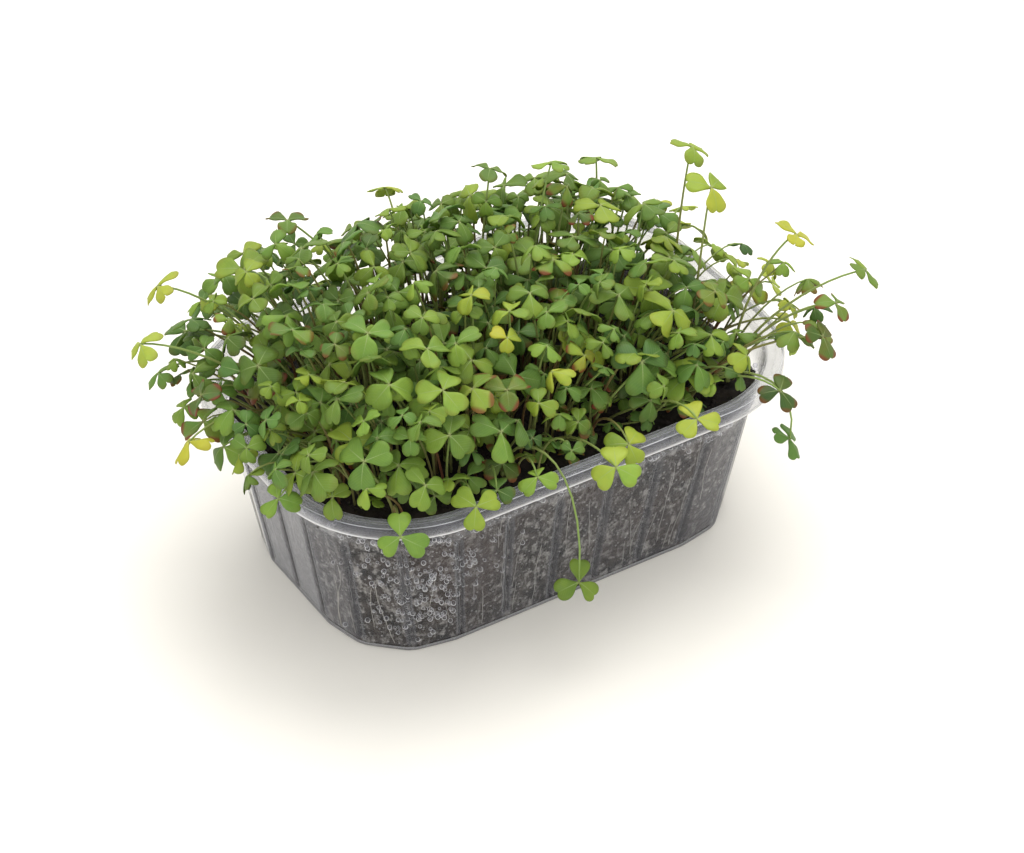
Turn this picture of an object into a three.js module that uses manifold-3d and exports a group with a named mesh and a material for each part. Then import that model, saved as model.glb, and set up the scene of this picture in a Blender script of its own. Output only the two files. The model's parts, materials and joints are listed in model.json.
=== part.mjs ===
// Microgreens tray: a clear ribbed punnet of damp compost, sown full of small clover-like seedlings.
// Millimetres, +Z up. The origin is the middle of the punnet's underside, +X along its length.
import * as THREE from 'three';
import { mergeVertices } from 'three/addons/utils/BufferGeometryUtils.js';
import Module from 'manifold-3d';

// Punnet: half length and half width, corner radius and height of the foot, the wall and the rim
const FOOT_HALF = [67.5, 43.3];
const FOOT_CORNER = 27;
const RIM_HALF = [82, 58];
const RIM_CORNER = 39;
const RIM_TOP = 58;
const LIP_BOTTOM = 54.5;
const FLANGE_WIDTH = 6;
const SHEET = 0.9;
const FOOT_BEVEL = 1.2;

// Upright grooves pressed into the wall, between flat panels
const GROOVE_COUNT = 26;
const GROOVE_DEPTH = 1.1;
const GROOVE_SHARE = 0.1;
const EVEN_SHARE = 1 / 3;
const GROOVE_FOOT = 4;
const GROOVE_HEAD = 41;
const COLLAR_FOOT = 45;

// Compost: its level, its lumps and the holes that the seedlings stand in
const SOIL_LEVEL = 46.5;
const SOIL_GAP = 0.35;
const SOIL_SIDES = 36;
const SOIL_LUMP = 0.7;
const SOIL_LUMP_LENGTH = 7;
const SOIL_SWERVE = 0.6;
const SOIL_SWERVE_LENGTH = 5;
const SOIL_TOP_RINGS = [1, 0.7, 0.4];
const HOLE_RADIUS = 1.9;
const HOLE_DEPTH = 7.3;
const HOLE_SIDES = 5;

// Seedlings: the seeded draw, and where they root
const SEED = 2718;
const DRAW_STEP = 48271;
const DRAW_RANGE = 2147483647;
const ROOT_COLUMNS = 8;
const ROOT_ROWS = 5;
const ROOT_SPACING = [16.4, 17.6];
const ROOT_STAGGER = 0.25;
const ROOT_JITTER = 2.4;
const ROOT_MARGIN = 6;
const ROOT_RETREAT = 0.97;
const CROWN_RADIUS = 1.2;
const CROWN_HEIGHT = 2;
const CROWN_SIDES = 4;

// Canopy: how far the leaves reach, and the height that they fill
const LEAF_COUNT = 115;
const PLACES_PER_LEAF = 4;
const MOST_LEAVES = 5;
const CROWDING = 60;
const CANOPY_HALF = [92, 65];
const CANOPY_MIDDLE = [-2, 3];
const CANOPY_CORNER = 60;
const CANOPY_TOP = 95;
const CANOPY_DROP = 28;
const CANOPY_TILT = [-0.12, 0.1];
const CANOPY_DEPTH = 34;
const CORE_HALF = [41, 17];
const RIM_REACH = 41;
const ROOT_PULL = [0.78, 0.72];
const STEP_X = 0.7548776662466927;
const STEP_Y = 0.5698402909980532;
const TRIES = 14;
const TRY_SHIFT = 0.4;
const TRY_LIFT = 0.5;
const TRY_SHRINK = 0.012;

// One leaf: three notched leaflets on a thin stem
const LEAFLET = [7.2, 9.8];
const LEAFLET_LENGTHS = { side: 0.6, lobe: 0.98, notch: 0.84, valley: 0.21 };
const LEAFLET_WIDTHS = { side: 0.53, lobe: 0.33 };
const LEAFLETS = 3;
const DROOP = [0.05, 0.5];
const FOLD = [-0.45, 0.4];
const LEAN_OUT = 0.4;
const LEAN_X = [-0.6, 0.6];
const LEAN_Y = [-0.65, 0.4];
const BLADE = 0.95;
const STEM_RADIUS = 0.55;
const STEM_SIDES = 3;
const STEM_STEPS = 3;
const STEM_BOW = 3;
const STEM_FOOT = 0.12;
const STEM_RISE = 0.6;
const STEM_HEAD = 0.3;
const STEM_END = 0.6;
const STEM_ENTRY = -0.3;
const PLAIN_ARCH = -9;
const OUTER_ARCH = 5;
const EDGE_BELT = 10;
const OVER_RIM = 5;
const ARCH_BELOW = 12;
const HANGING_ARCH = 10;
const HANGING_SLACK = -0.35;

// Room that a stem or a blade keeps round the points that stand for it
const SAMPLE_STEP = 1.1;
const SAMPLE_SIDES = 3;
const STEM_SLACK = 1.3;
const STEM_TIP = 2;
const LEAFLET_FLARE = 0.8;
const STEM_ROOM = 0.8;
const BLADE_ROOM = 1.1;
const CELL = 2.2;
const CROWN_FREE = 9;
const RIM_ROOM = 1.8;
const WALL_ROOM = 1;
const SOIL_ROOM = 3;

// The longest leaves: where each ends, how high its stem arches over it, and its leaflets' length
const LONG_LEAVES = [
  { at: [-13, -66, 27], arch: 54, leaflet: 7.4 },
  { at: [62, -63, 45], arch: 31, leaflet: 7 },
  { at: [-66, -58, 61], arch: 6, leaflet: 8.4 },
  { at: [-84, 46, 89], arch: -2, leaflet: 7.6 },
  { at: [-98, 30, 84], arch: -1, leaflet: 7.8 },
  { at: [-98, 3, 67], arch: 4, leaflet: 7.8 },
  { at: [-88, 14, 72], arch: 4, leaflet: 7 },
  { at: [-82, 27, 66], arch: 3, leaflet: 6.6 },
  { at: [-74, -36, 65], arch: 4, leaflet: 7.2 },
  { at: [34, 22, 103], arch: -9, leaflet: 7.2 },
  { at: [18, 30, 102], arch: -9, leaflet: 6.4 },
  { at: [70, 2, 107], arch: -6, leaflet: 7 },
  { at: [66, -14, 103], arch: -6, leaflet: 8.2 },
  { at: [80, -37, 95], arch: -2, leaflet: 7.2 },
  { at: [96, -50, 84], arch: -1, leaflet: 6.6 },
  { at: [82, -56, 81], arch: -1, leaflet: 6.8 },
  { at: [73, -61, 76], arch: -1, leaflet: 7.4 },
  { at: [55, -66, 67], arch: 4, leaflet: 7.8 },
  { at: [-37, 54, 90], arch: -4, leaflet: 7 },
  { at: [-54, 50, 87], arch: -4, leaflet: 6.8 },
  { at: [2, 64, 82], arch: -2, leaflet: 6.8 },
  { at: [66, 46, 80], arch: -4, leaflet: 7.2 },
  { at: [-43, -60, 63], arch: 4, leaflet: 7.8 },
  { at: [-1, -66, 63], arch: 4, leaflet: 8 },
  { at: [29, -62, 65], arch: 4, leaflet: 7.8 },
];

// Colours of the finished pieces, and how the plants are shared among the greens
const CLEAR_SHEET = { color: 0xc9ccd4, roughness: 0.12, opacity: 0.35 };
const COMPOST = { color: 0x35302c, roughness: 0.95, opacity: 1 };
const FOLIAGE = {
  bright: { color: 0x7fae3a, roughness: 0.6, opacity: 1 },
  mid: { color: 0x5b8f3c, roughness: 0.62, opacity: 1 },
  deep: { color: 0x42713f, roughness: 0.65, opacity: 1 },
};
const TONE_VARIETY = 0.35;
const BRIGHT_BELOW = -0.25;
const DEEP_ABOVE = 0.45;

// Points closer than the first value are one, and edges shorter than the second are closed up
const SAME_POINT = 1e-5;
const SHORTEST_EDGE = 0.03;

const wasm = await Module();
wasm.setup();

// A point of a rounded rectangle, a given share of the way round from the middle of its +X side
function outlinePoint(half, corner, share) {
  const straightX = half[0] - corner;
  const straightY = half[1] - corner;
  const arc = (corner * Math.PI) / 2;
  const quarter = straightX + straightY + arc;
  const along = (share - Math.floor(share)) * 4 * quarter;
  const quadrant = Math.floor(along / quarter) % 4;
  const rest = along - quadrant * quarter;
  const walked = quadrant % 2 === 0 ? rest : quarter - rest;
  let x = half[0];
  let y = walked;
  if (walked > straightY + arc) {
    x = straightX - (walked - straightY - arc);
    y = half[1];
  } else if (walked > straightY) {
    const angle = (walked - straightY) / corner;
    x = straightX + corner * Math.cos(angle);
    y = straightY + corner * Math.sin(angle);
  }
  const signX = quadrant === 0 || quadrant === 3 ? 1 : -1;
  const signY = quadrant < 2 ? 1 : -1;
  return [signX * x, signY * y];
}

// How far a point lies outside a rounded rectangle, negative inside it
function outsideBy(point, half, corner) {
  const x = Math.max(Math.abs(point[0]) - (half[0] - corner), 0);
  const y = Math.max(Math.abs(point[1]) - (half[1] - corner), 0);
  return Math.sqrt(x * x + y * y) - corner;
}

// The wall's outer outline at a height, moved in by an inset
function wallOutline(z, inset) {
  const share = z / (RIM_TOP - SHEET);
  const top = FLANGE_WIDTH - SHEET;
  const spread = (foot, rim) => foot + (rim - top - foot) * share - inset;
  return {
    half: [spread(FOOT_HALF[0], RIM_HALF[0]), spread(FOOT_HALF[1], RIM_HALF[1])],
    corner: spread(FOOT_CORNER, RIM_CORNER),
  };
}

// One ring of the punnet: three points to a groove, with the middle one pressed in
function grooveRing(outline, z, depth, share) {
  const ring = [];
  for (let groove = 0; groove < GROOVE_COUNT; groove += 1) {
    for (const side of [-1, 0, 1]) {
      const press = side === 0 ? depth : 0;
      const half = [outline.half[0] - press, outline.half[1] - press];
      const place = (groove + side * share) / GROOVE_COUNT;
      ring.push([...outlinePoint(half, outline.corner - press, place), z]);
    }
  }
  return ring;
}

// A closed skin over rings with the same number of points, shut at both ends by a fan
function loft(rings, firstCentre, lastCentre) {
  const count = rings[0].length;
  const positions = [...rings.flat(), firstCentre, lastCentre].flat();
  const first = rings.length * count;
  const last = first + 1;
  const faces = [];
  for (let point = 0; point < count; point += 1) {
    const next = (point + 1) % count;
    faces.push(first, next, point);
    for (let ring = 0; ring + 1 < rings.length; ring += 1) {
      const low = ring * count;
      const high = low + count;
      faces.push(low + point, low + next, high + next);
      faces.push(low + point, high + next, high + point);
    }
    const end = (rings.length - 1) * count;
    faces.push(end + point, end + next, last);
  }
  const geometry = new THREE.BufferGeometry();
  geometry.setAttribute('position', new THREE.Float32BufferAttribute(positions, 3));
  geometry.setIndex(faces);
  return geometry;
}

// The punnet: foot, grooved wall, plain collar, flat flange and turned-down lip, in one thin sheet
function trayGeometry() {
  const rim = (inset) => ({
    half: [RIM_HALF[0] - inset, RIM_HALF[1] - inset],
    corner: RIM_CORNER - inset,
  });
  const wall = (z, inset, depth, share) => grooveRing(wallOutline(z, inset), z, depth, share);
  const underFlange = RIM_TOP - SHEET;
  const rings = [
    grooveRing(wallOutline(0, FOOT_BEVEL), 0, 0, GROOVE_SHARE),
    wall(FOOT_BEVEL, 0, 0, GROOVE_SHARE),
    wall(GROOVE_FOOT, 0, GROOVE_DEPTH, GROOVE_SHARE),
    wall(GROOVE_HEAD, 0, GROOVE_DEPTH, GROOVE_SHARE),
    wall(COLLAR_FOOT, 0, 0, GROOVE_SHARE),
    wall(underFlange, 0, 0, EVEN_SHARE),
    grooveRing(rim(SHEET), underFlange, 0, EVEN_SHARE),
    grooveRing(rim(SHEET), LIP_BOTTOM, 0, EVEN_SHARE),
    grooveRing(rim(0), LIP_BOTTOM, 0, EVEN_SHARE),
    grooveRing(rim(0), RIM_TOP, 0, EVEN_SHARE),
    grooveRing(rim(FLANGE_WIDTH), RIM_TOP, 0, EVEN_SHARE),
    wall(COLLAR_FOOT, SHEET, 0, GROOVE_SHARE),
    wall(GROOVE_HEAD, SHEET, GROOVE_DEPTH, GROOVE_SHARE),
    wall(GROOVE_FOOT, SHEET, GROOVE_DEPTH, GROOVE_SHARE),
    grooveRing(wallOutline(SHEET, SHEET + FOOT_BEVEL), SHEET, 0, GROOVE_SHARE),
  ];
  return loft(rings, [0, 0, 0], [0, 0, SHEET]);
}

// The compost's uneven top
function soilTop(x, y) {
  const swerve = SOIL_SWERVE * Math.sin(y / SOIL_SWERVE_LENGTH);
  const wave = Math.sin(x / SOIL_LUMP_LENGTH + swerve) * Math.cos(y / SOIL_LUMP_LENGTH);
  return SOIL_LEVEL + SOIL_LUMP * wave;
}

function soilOutline(z) {
  return wallOutline(z, SHEET + GROOVE_DEPTH + SOIL_GAP);
}

function soilRing(outline, height, scale) {
  const ring = [];
  for (let side = 0; side < SOIL_SIDES; side += 1) {
    const [x, y] = outlinePoint(outline.half, outline.corner, side / SOIL_SIDES);
    ring.push([x * scale, y * scale, height(x * scale, y * scale)]);
  }
  return ring;
}

// A manifold solid from a closed geometry, and back without edges too short to matter
function toSolid(geometry) {
  const bare = geometry.clone();
  bare.deleteAttribute('normal');
  bare.deleteAttribute('uv');
  const merged = mergeVertices(bare, SAME_POINT);
  return new wasm.Manifold(new wasm.Mesh({
    numProp: 3,
    vertProperties: new Float32Array(merged.attributes.position.array),
    triVerts: new Uint32Array(merged.index.array),
  }));
}

function toGeometry(solid) {
  const mesh = solid.getMesh();
  const points = mesh.vertProperties;
  const kept = Array.from({ length: points.length / 3 }, (_, index) => index);
  const keptOf = (index) => (kept[index] === index ? index : keptOf(kept[index]));
  const apart = (one, two) => Math.hypot(
    ...[0, 1, 2].map((axis) => points[3 * one + axis] - points[3 * two + axis]),
  );
  const faces = [];
  for (let corner = 0; corner < mesh.triVerts.length; corner += 3) {
    faces.push([0, 1, 2].map((step) => mesh.triVerts[corner + step]));
  }
  for (const face of faces) {
    face.forEach((one, step) => {
      const [from, to] = [keptOf(one), keptOf(face[(step + 1) % 3])];
      if (from !== to && apart(one, face[(step + 1) % 3]) < SHORTEST_EDGE) {
        kept[from] = to;
      }
    });
  }
  const whole = faces.map((face) => face.map(keptOf)).filter((face) => new Set(face).size === 3);
  const geometry = new THREE.BufferGeometry();
  geometry.setAttribute('position', new THREE.BufferAttribute(new Float32Array(points), 3));
  geometry.setIndex(whole.flat());
  return geometry;
}

// The compost: a block that fills the punnet, with a hole for each seedling
function soilGeometry(roots) {
  const floor = SHEET + SOIL_GAP;
  const rings = [
    soilRing(soilOutline(floor), () => floor, (FOOT_HALF[0] - FOOT_BEVEL) / FOOT_HALF[0]),
    soilRing(soilOutline(GROOVE_FOOT), () => GROOVE_FOOT, 1),
    ...SOIL_TOP_RINGS.map((scale) => soilRing(soilOutline(SOIL_LEVEL), soilTop, scale)),
  ];
  let block = toSolid(loft(rings, [0, 0, floor], [0, 0, soilTop(0, 0)]));
  for (const [x, y] of roots) {
    const bore = new THREE.CylinderGeometry(HOLE_RADIUS, HOLE_RADIUS, 2 * HOLE_DEPTH, HOLE_SIDES);
    bore.rotateX(Math.PI / 2);
    bore.translate(x, y, soilTop(x, y));
    block = block.subtract(toSolid(bore));
  }
  return toGeometry(block);
}

// A seeded draw between two values
let state = SEED;
function draw(low, high) {
  state = (state * DRAW_STEP) % DRAW_RANGE;
  return low + ((high - low) * state) / DRAW_RANGE;
}

// Where the seedlings root: staggered rows, a little out of line
function plantRoots() {
  const outline = soilOutline(SOIL_LEVEL);
  const roots = [];
  for (let row = 0; row < ROOT_ROWS; row += 1) {
    for (let column = 0; column < ROOT_COLUMNS; column += 1) {
      const stagger = row % 2 === 0 ? ROOT_STAGGER : -ROOT_STAGGER;
      let x = (column + 0.5 + stagger - ROOT_COLUMNS / 2) * ROOT_SPACING[0];
      let y = (row + 0.5 - ROOT_ROWS / 2) * ROOT_SPACING[1];
      x += draw(-ROOT_JITTER, ROOT_JITTER);
      y += draw(-ROOT_JITTER, ROOT_JITTER);
      while (outsideBy([x, y], outline.half, outline.corner) > -ROOT_MARGIN) {
        x *= ROOT_RETREAT;
        y *= ROOT_RETREAT;
      }
      roots.push([x, y]);
    }
  }
  return roots;
}

// The canopy's upper side over a place: a low dome, a little higher at the back and the left
function canopyTop(x, y) {
  const reach = outsideBy([x, y], CORE_HALF, 0) / RIM_REACH;
  return CANOPY_TOP - CANOPY_DROP * reach * reach + CANOPY_TILT[0] * x + CANOPY_TILT[1] * y;
}

// The four control points of a stem, from its crown to its leaf
function stemCurve(root, leaf) {
  const start = [root[0], root[1], soilTop(root[0], root[1]) + CROWN_HEIGHT / 2];
  const run = [leaf.at[0] - start[0], leaf.at[1] - start[1], leaf.at[2] - start[2]];
  const rise = run[2] + leaf.arch;
  const foot = [0, 1].map((axis) => start[axis] + STEM_FOOT * run[axis] + leaf.bow[axis]);
  const head = [0, 1].map((axis) => leaf.at[axis] - STEM_HEAD * run[axis] * leaf.slack);
  return [start, [...foot, start[2] + STEM_RISE * rise], [...head, start[2] + rise], leaf.at];
}

function curvePoint(curve, t) {
  const s = 1 - t;
  const weights = [s * s * s, 3 * s * s * t, 3 * s * t * t, t * t * t];
  const sumOf = (axis) => weights.reduce((sum, weight, index) => sum + weight * curve[index][axis], 0);
  return [0, 1, 2].map(sumOf);
}

// A leaf's own directions: up from its face, ahead along its first leaflet, and across
function leafAxes(leaf) {
  const length = Math.sqrt(leaf.lean[0] ** 2 + leaf.lean[1] ** 2 + 1);
  const up = [leaf.lean[0] / length, leaf.lean[1] / length, 1 / length];
  const dot = leaf.heading[0] * up[0] + leaf.heading[1] * up[1];
  const flat = [leaf.heading[0] - dot * up[0], leaf.heading[1] - dot * up[1], -dot * up[2]];
  const size = Math.sqrt(flat[0] ** 2 + flat[1] ** 2 + flat[2] ** 2);
  const ahead = flat.map((value) => value / size);
  const across = [
    up[1] * ahead[2] - up[2] * ahead[1],
    up[2] * ahead[0] - up[0] * ahead[2],
    up[0] * ahead[1] - up[1] * ahead[0],
  ];
  return { up, ahead, across };
}

// A point of a leaflet: a length along its rib and a width to one side, drooped and folded
function leafletPoint(leaf, axes, index, along, aside) {
  const turn = (index * 2 * Math.PI) / LEAFLETS;
  const droop = leaf.droop[index];
  const level = along * Math.cos(droop);
  const drop = along * Math.sin(droop) * along / leaf.leaflet;
  const lift = Math.abs(aside) * Math.sin(leaf.fold) - drop;
  const side = aside * Math.cos(leaf.fold);
  const forward = level * Math.cos(turn) - side * Math.sin(turn);
  const sideways = level * Math.sin(turn) + side * Math.cos(turn);
  return [0, 1, 2].map((axis) => leaf.at[axis]
    + forward * axes.ahead[axis] + sideways * axes.across[axis] + lift * axes.up[axis]);
}

// Points that stand for a leaf and its stem when room is looked for
function stemSamples(curve) {
  const span = Math.sqrt([0, 1, 2].reduce((sum, axis) => sum + (curve[3][axis] - curve[0][axis]) ** 2, 0));
  const count = Math.ceil((STEM_SLACK * span) / SAMPLE_STEP);
  const samples = [];
  for (let index = 0; index <= count; index += 1) {
    samples.push(curvePoint(curve, index / count));
  }
  return samples;
}

function bladeSamples(leaf) {
  const axes = leafAxes(leaf);
  const samples = [];
  for (let index = 0; index < LEAFLETS; index += 1) {
    for (let along = SAMPLE_STEP; along <= leaf.leaflet; along += SAMPLE_STEP) {
      const halfWidth = Math.min(along * LEAFLET_FLARE, leaf.leaflet * LEAFLET_WIDTHS.side);
      for (let side = -SAMPLE_SIDES; side <= SAMPLE_SIDES; side += 1) {
        samples.push(leafletPoint(leaf, axes, index, along, (side * halfWidth) / SAMPLE_SIDES));
      }
    }
  }
  return samples;
}

// The filled space, kept in small cubes
const filled = new Map();
function cubeName(x, y, z) {
  return `${x},${y},${z}`;
}

function fill(samples, room, plant) {
  for (const point of samples) {
    const name = cubeName(...point.map((value) => Math.floor(value / CELL)));
    if (!filled.has(name)) {
      filled.set(name, []);
    }
    filled.get(name).push({ point, room, plant });
  }
}

function hasRoom(samples, room, plant) {
  for (const point of samples) {
    const [cx, cy, cz] = point.map((value) => Math.floor(value / CELL));
    for (let dx = -1; dx <= 1; dx += 1) {
      for (let dy = -1; dy <= 1; dy += 1) {
        for (let dz = -1; dz <= 1; dz += 1) {
          for (const other of filled.get(cubeName(cx + dx, cy + dy, cz + dz)) ?? []) {
            const near = room + other.room;
            const apart = (point[0] - other.point[0]) ** 2 + (point[1] - other.point[1]) ** 2
              + (point[2] - other.point[2]) ** 2;
            const atCrown = other.plant === plant && point[2] < SOIL_LEVEL + CROWN_FREE;
            if (apart < near * near && !atCrown) {
              return false;
            }
          }
        }
      }
    }
  }
  return true;
}

// Clear of the compost and of the punnet's wall and rim
function clearOfTray(samples, least) {
  return samples.every((point) => {
    if (point[2] > RIM_TOP + RIM_ROOM) {
      return true;
    }
    const outside = outsideBy(point, RIM_HALF, RIM_CORNER);
    const inside = -outside - FLANGE_WIDTH - WALL_ROOM;
    return outside > RIM_ROOM || (inside > RIM_ROOM && point[2] > SOIL_LEVEL + least);
  });
}

// A stem reaches its blade from below or from the side, unless it hangs over the rim
function entersWell(leaf, curve) {
  const { up } = leafAxes(leaf);
  const end = [0, 1, 2].map((axis) => curve[3][axis] - curve[2][axis]);
  const length = Math.sqrt(end[0] ** 2 + end[1] ** 2 + end[2] ** 2);
  const rise = end[0] * up[0] + end[1] * up[1] + end[2] * up[2];
  return leaf.arch > HANGING_ARCH || rise > STEM_ENTRY * length;
}

// The root nearest to a leaf, where one with few leaves counts as nearer
function nearestRoot(roots, leaves, x, y) {
  let best = -1;
  let shortest = Infinity;
  roots.forEach((root, index) => {
    const away = (root[0] - x * ROOT_PULL[0]) ** 2 + (root[1] - y * ROOT_PULL[1]) ** 2;
    const reach = away + CROWDING * leaves[index].length;
    if (leaves[index].length < MOST_LEAVES && reach < shortest) {
      shortest = reach;
      best = index;
    }
  });
  return best;
}

// One try at a leaf, moved a little further from its place each time
function drawnLeaf(at, arch, leaflet, attempt) {
  const jitter = attempt * TRY_SHIFT;
  const place = [
    at[0] + draw(-jitter, jitter),
    at[1] + draw(-jitter, jitter),
    at[2] + draw(-jitter, jitter) * TRY_LIFT,
  ];
  return {
    at: place,
    arch,
    leaflet: leaflet * (1 - TRY_SHRINK * attempt),
    slack: arch > HANGING_ARCH ? HANGING_SLACK : 1,
    bow: [draw(-STEM_BOW, STEM_BOW), draw(-STEM_BOW, STEM_BOW)],
    lean: [
      LEAN_OUT * place[0] / RIM_HALF[0] + draw(...LEAN_X),
      LEAN_OUT * place[1] / RIM_HALF[1] + draw(...LEAN_Y),
    ],
    heading: [place[0] / RIM_HALF[0] + draw(-1, 1), place[1] / RIM_HALF[1] + draw(-1, 1)],
    droop: [draw(...DROOP), draw(...DROOP), draw(...DROOP)],
    fold: draw(...FOLD),
  };
}

// Grow one leaf where it has room, or not at all
function growLeaf(roots, leaves, at, arch, leaflet) {
  const plant = nearestRoot(roots, leaves, at[0], at[1]);
  if (plant < 0) {
    return false;
  }
  for (let attempt = 0; attempt < TRIES; attempt += 1) {
    const leaf = drawnLeaf(at, arch, leaflet, attempt);
    const curve = stemCurve(roots[plant], leaf);
    const stem = stemSamples(curve);
    const blade = bladeSamples(leaf);
    const bare = stem.slice(0, -STEM_TIP);
    const clear = entersWell(leaf, curve) && clearOfTray(stem, 0) && clearOfTray(blade, SOIL_ROOM);
    if (clear && hasRoom(bare, STEM_ROOM, plant) && hasRoom(blade, BLADE_ROOM, plant)) {
      fill(bare, STEM_ROOM, plant);
      fill(blade, BLADE_ROOM, plant);
      leaves[plant].push(leaf);
      return true;
    }
  }
  return false;
}

// The whole canopy: the longest leaves first, then an even spread over the dome
function growCanopy(roots) {
  const leaves = roots.map(() => []);
  let grown = 0;
  for (const long of LONG_LEAVES) {
    grown += growLeaf(roots, leaves, long.at, long.arch, long.leaflet) ? 1 : 0;
  }
  for (let step = 1; grown < LEAF_COUNT && step < PLACES_PER_LEAF * LEAF_COUNT; step += 1) {
    const fromX = (2 * ((step * STEP_X) % 1) - 1) * CANOPY_HALF[0];
    const fromY = (2 * ((step * STEP_Y) % 1) - 1) * CANOPY_HALF[1];
    const depth = draw(0, 1);
    if (outsideBy([fromX, fromY], CANOPY_HALF, CANOPY_CORNER) < 0) {
      const [x, y] = [fromX + CANOPY_MIDDLE[0], fromY + CANOPY_MIDDLE[1]];
      const outer = outsideBy([x, y], RIM_HALF, RIM_CORNER) > -EDGE_BELT;
      const z = Math.max(canopyTop(x, y) - CANOPY_DEPTH * depth * depth, RIM_TOP + OVER_RIM);
      const arch = outer && z < RIM_TOP + ARCH_BELOW ? OUTER_ARCH : PLAIN_ARCH;
      grown += growLeaf(roots, leaves, [x, y, z], arch, draw(...LEAFLET)) ? 1 : 0;
    }
  }
  return leaves;
}

// One blade: three leaflets cut to the rib in one thin arched outline
function bladeGeometry(leaf) {
  const axes = leafAxes(leaf);
  const size = leaf.leaflet;
  const edge = [];
  for (let index = 0; index < LEAFLETS; index += 1) {
    const point = (along, aside) => edge.push(leafletPoint(leaf, axes, index, along * size, aside * size));
    point(LEAFLET_LENGTHS.side, -LEAFLET_WIDTHS.side);
    point(LEAFLET_LENGTHS.lobe, -LEAFLET_WIDTHS.lobe);
    point(LEAFLET_LENGTHS.notch, 0);
    point(LEAFLET_LENGTHS.lobe, LEAFLET_WIDTHS.lobe);
    point(LEAFLET_LENGTHS.side, LEAFLET_WIDTHS.side);
    const valley = ((index + 0.5) * 2 * Math.PI) / LEAFLETS;
    const reach = LEAFLET_LENGTHS.valley * size;
    edge.push([0, 1, 2].map((axis) => leaf.at[axis]
      + reach * (Math.cos(valley) * axes.ahead[axis] + Math.sin(valley) * axes.across[axis])));
  }
  const below = edge.map((point) => point.map((value, axis) => value - BLADE * axes.up[axis]));
  const count = edge.length;
  const perLeaflet = count / LEAFLETS;
  const faces = [];
  const bothFaces = (first, second, third) => {
    faces.push(first, second, third);
    faces.push(first + count, third + count, second + count);
  };
  bothFaces(perLeaflet - 1, 2 * perLeaflet - 1, 3 * perLeaflet - 1);
  for (let index = 0; index < LEAFLETS; index += 1) {
    const start = index * perLeaflet;
    const [side, lobe, notch, farLobe, farSide, valley] = [0, 1, 2, 3, 4, 5].map((step) => start + step);
    const before = (start + count - 1) % count;
    bothFaces(before, side, lobe);
    bothFaces(before, lobe, notch);
    bothFaces(before, notch, valley);
    bothFaces(valley, notch, farLobe);
    bothFaces(valley, farLobe, farSide);
  }
  for (let point = 0; point < count; point += 1) {
    const next = (point + 1) % count;
    faces.push(point, point + count, next + count);
    faces.push(point, next + count, next);
  }
  const geometry = new THREE.BufferGeometry();
  geometry.setAttribute('position', new THREE.Float32BufferAttribute([...edge, ...below].flat(), 3));
  geometry.setIndex(faces);
  return geometry;
}

// One stem: a thin three-sided rod that ends inside its blade
function stemGeometry(root, leaf) {
  const { up } = leafAxes(leaf);
  const curve = stemCurve(root, leaf).map((point) => new THREE.Vector3(...point));
  curve[3].addScaledVector(new THREE.Vector3(...up), -BLADE * STEM_END);
  const section = new THREE.Shape();
  for (let side = 0; side < STEM_SIDES; side += 1) {
    const angle = (side * 2 * Math.PI) / STEM_SIDES;
    const point = [STEM_RADIUS * Math.cos(angle), STEM_RADIUS * Math.sin(angle)];
    if (side === 0) {
      section.moveTo(...point);
    } else {
      section.lineTo(...point);
    }
  }
  return new THREE.ExtrudeGeometry(section, {
    steps: leaf.arch > HANGING_ARCH ? 2 * STEM_STEPS : STEM_STEPS,
    bevelEnabled: false,
    extrudePath: new THREE.CubicBezierCurve3(...curve),
  });
}

// One seedling: a crown sunk in its hole, with its stems and leaves
function plantGeometry(root, leaves) {
  const [x, y] = root;
  const length = HOLE_DEPTH + CROWN_HEIGHT - SOIL_GAP;
  const crown = new THREE.CylinderGeometry(CROWN_RADIUS, CROWN_RADIUS, length, CROWN_SIDES);
  crown.rotateX(Math.PI / 2);
  crown.translate(x, y, soilTop(x, y) + CROWN_HEIGHT - length / 2);
  let solid = toSolid(crown);
  for (const leaf of leaves) {
    solid = solid.add(toSolid(stemGeometry(root, leaf)));
    solid = solid.add(toSolid(bladeGeometry(leaf)));
  }
  return toGeometry(solid);
}

function finish({ color, roughness, opacity }) {
  return new THREE.MeshStandardMaterial({
    color, roughness, metalness: 0, opacity, transparent: opacity < 1,
  });
}

// Plants at the front catch the light, those at the back are deeper green
function toneOf(root, index) {
  const shade = root[1] / RIM_HALF[1] + TONE_VARIETY * ((index % 3) - 1);
  if (shade < BRIGHT_BELOW) {
    return 'bright';
  }
  return shade < DEEP_ABOVE ? 'mid' : 'deep';
}

function addPiece(group, name, geometry, material) {
  const mesh = new THREE.Mesh(geometry, material);
  mesh.name = name;
  group.add(mesh);
}

const group = new THREE.Group();
const roots = plantRoots();
const leaves = growCanopy(roots);
addPiece(group, 'tray', trayGeometry(), finish(CLEAR_SHEET));
addPiece(group, 'soil', soilGeometry(roots), finish(COMPOST));
roots.forEach((root, index) => {
  const name = `plant_${String(index + 1).padStart(2, '0')}`;
  addPiece(group, name, plantGeometry(root, leaves[index]), finish(FOLIAGE[toneOf(root, index)]));
});

export default group;
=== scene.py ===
import json
import math
import random

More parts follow.
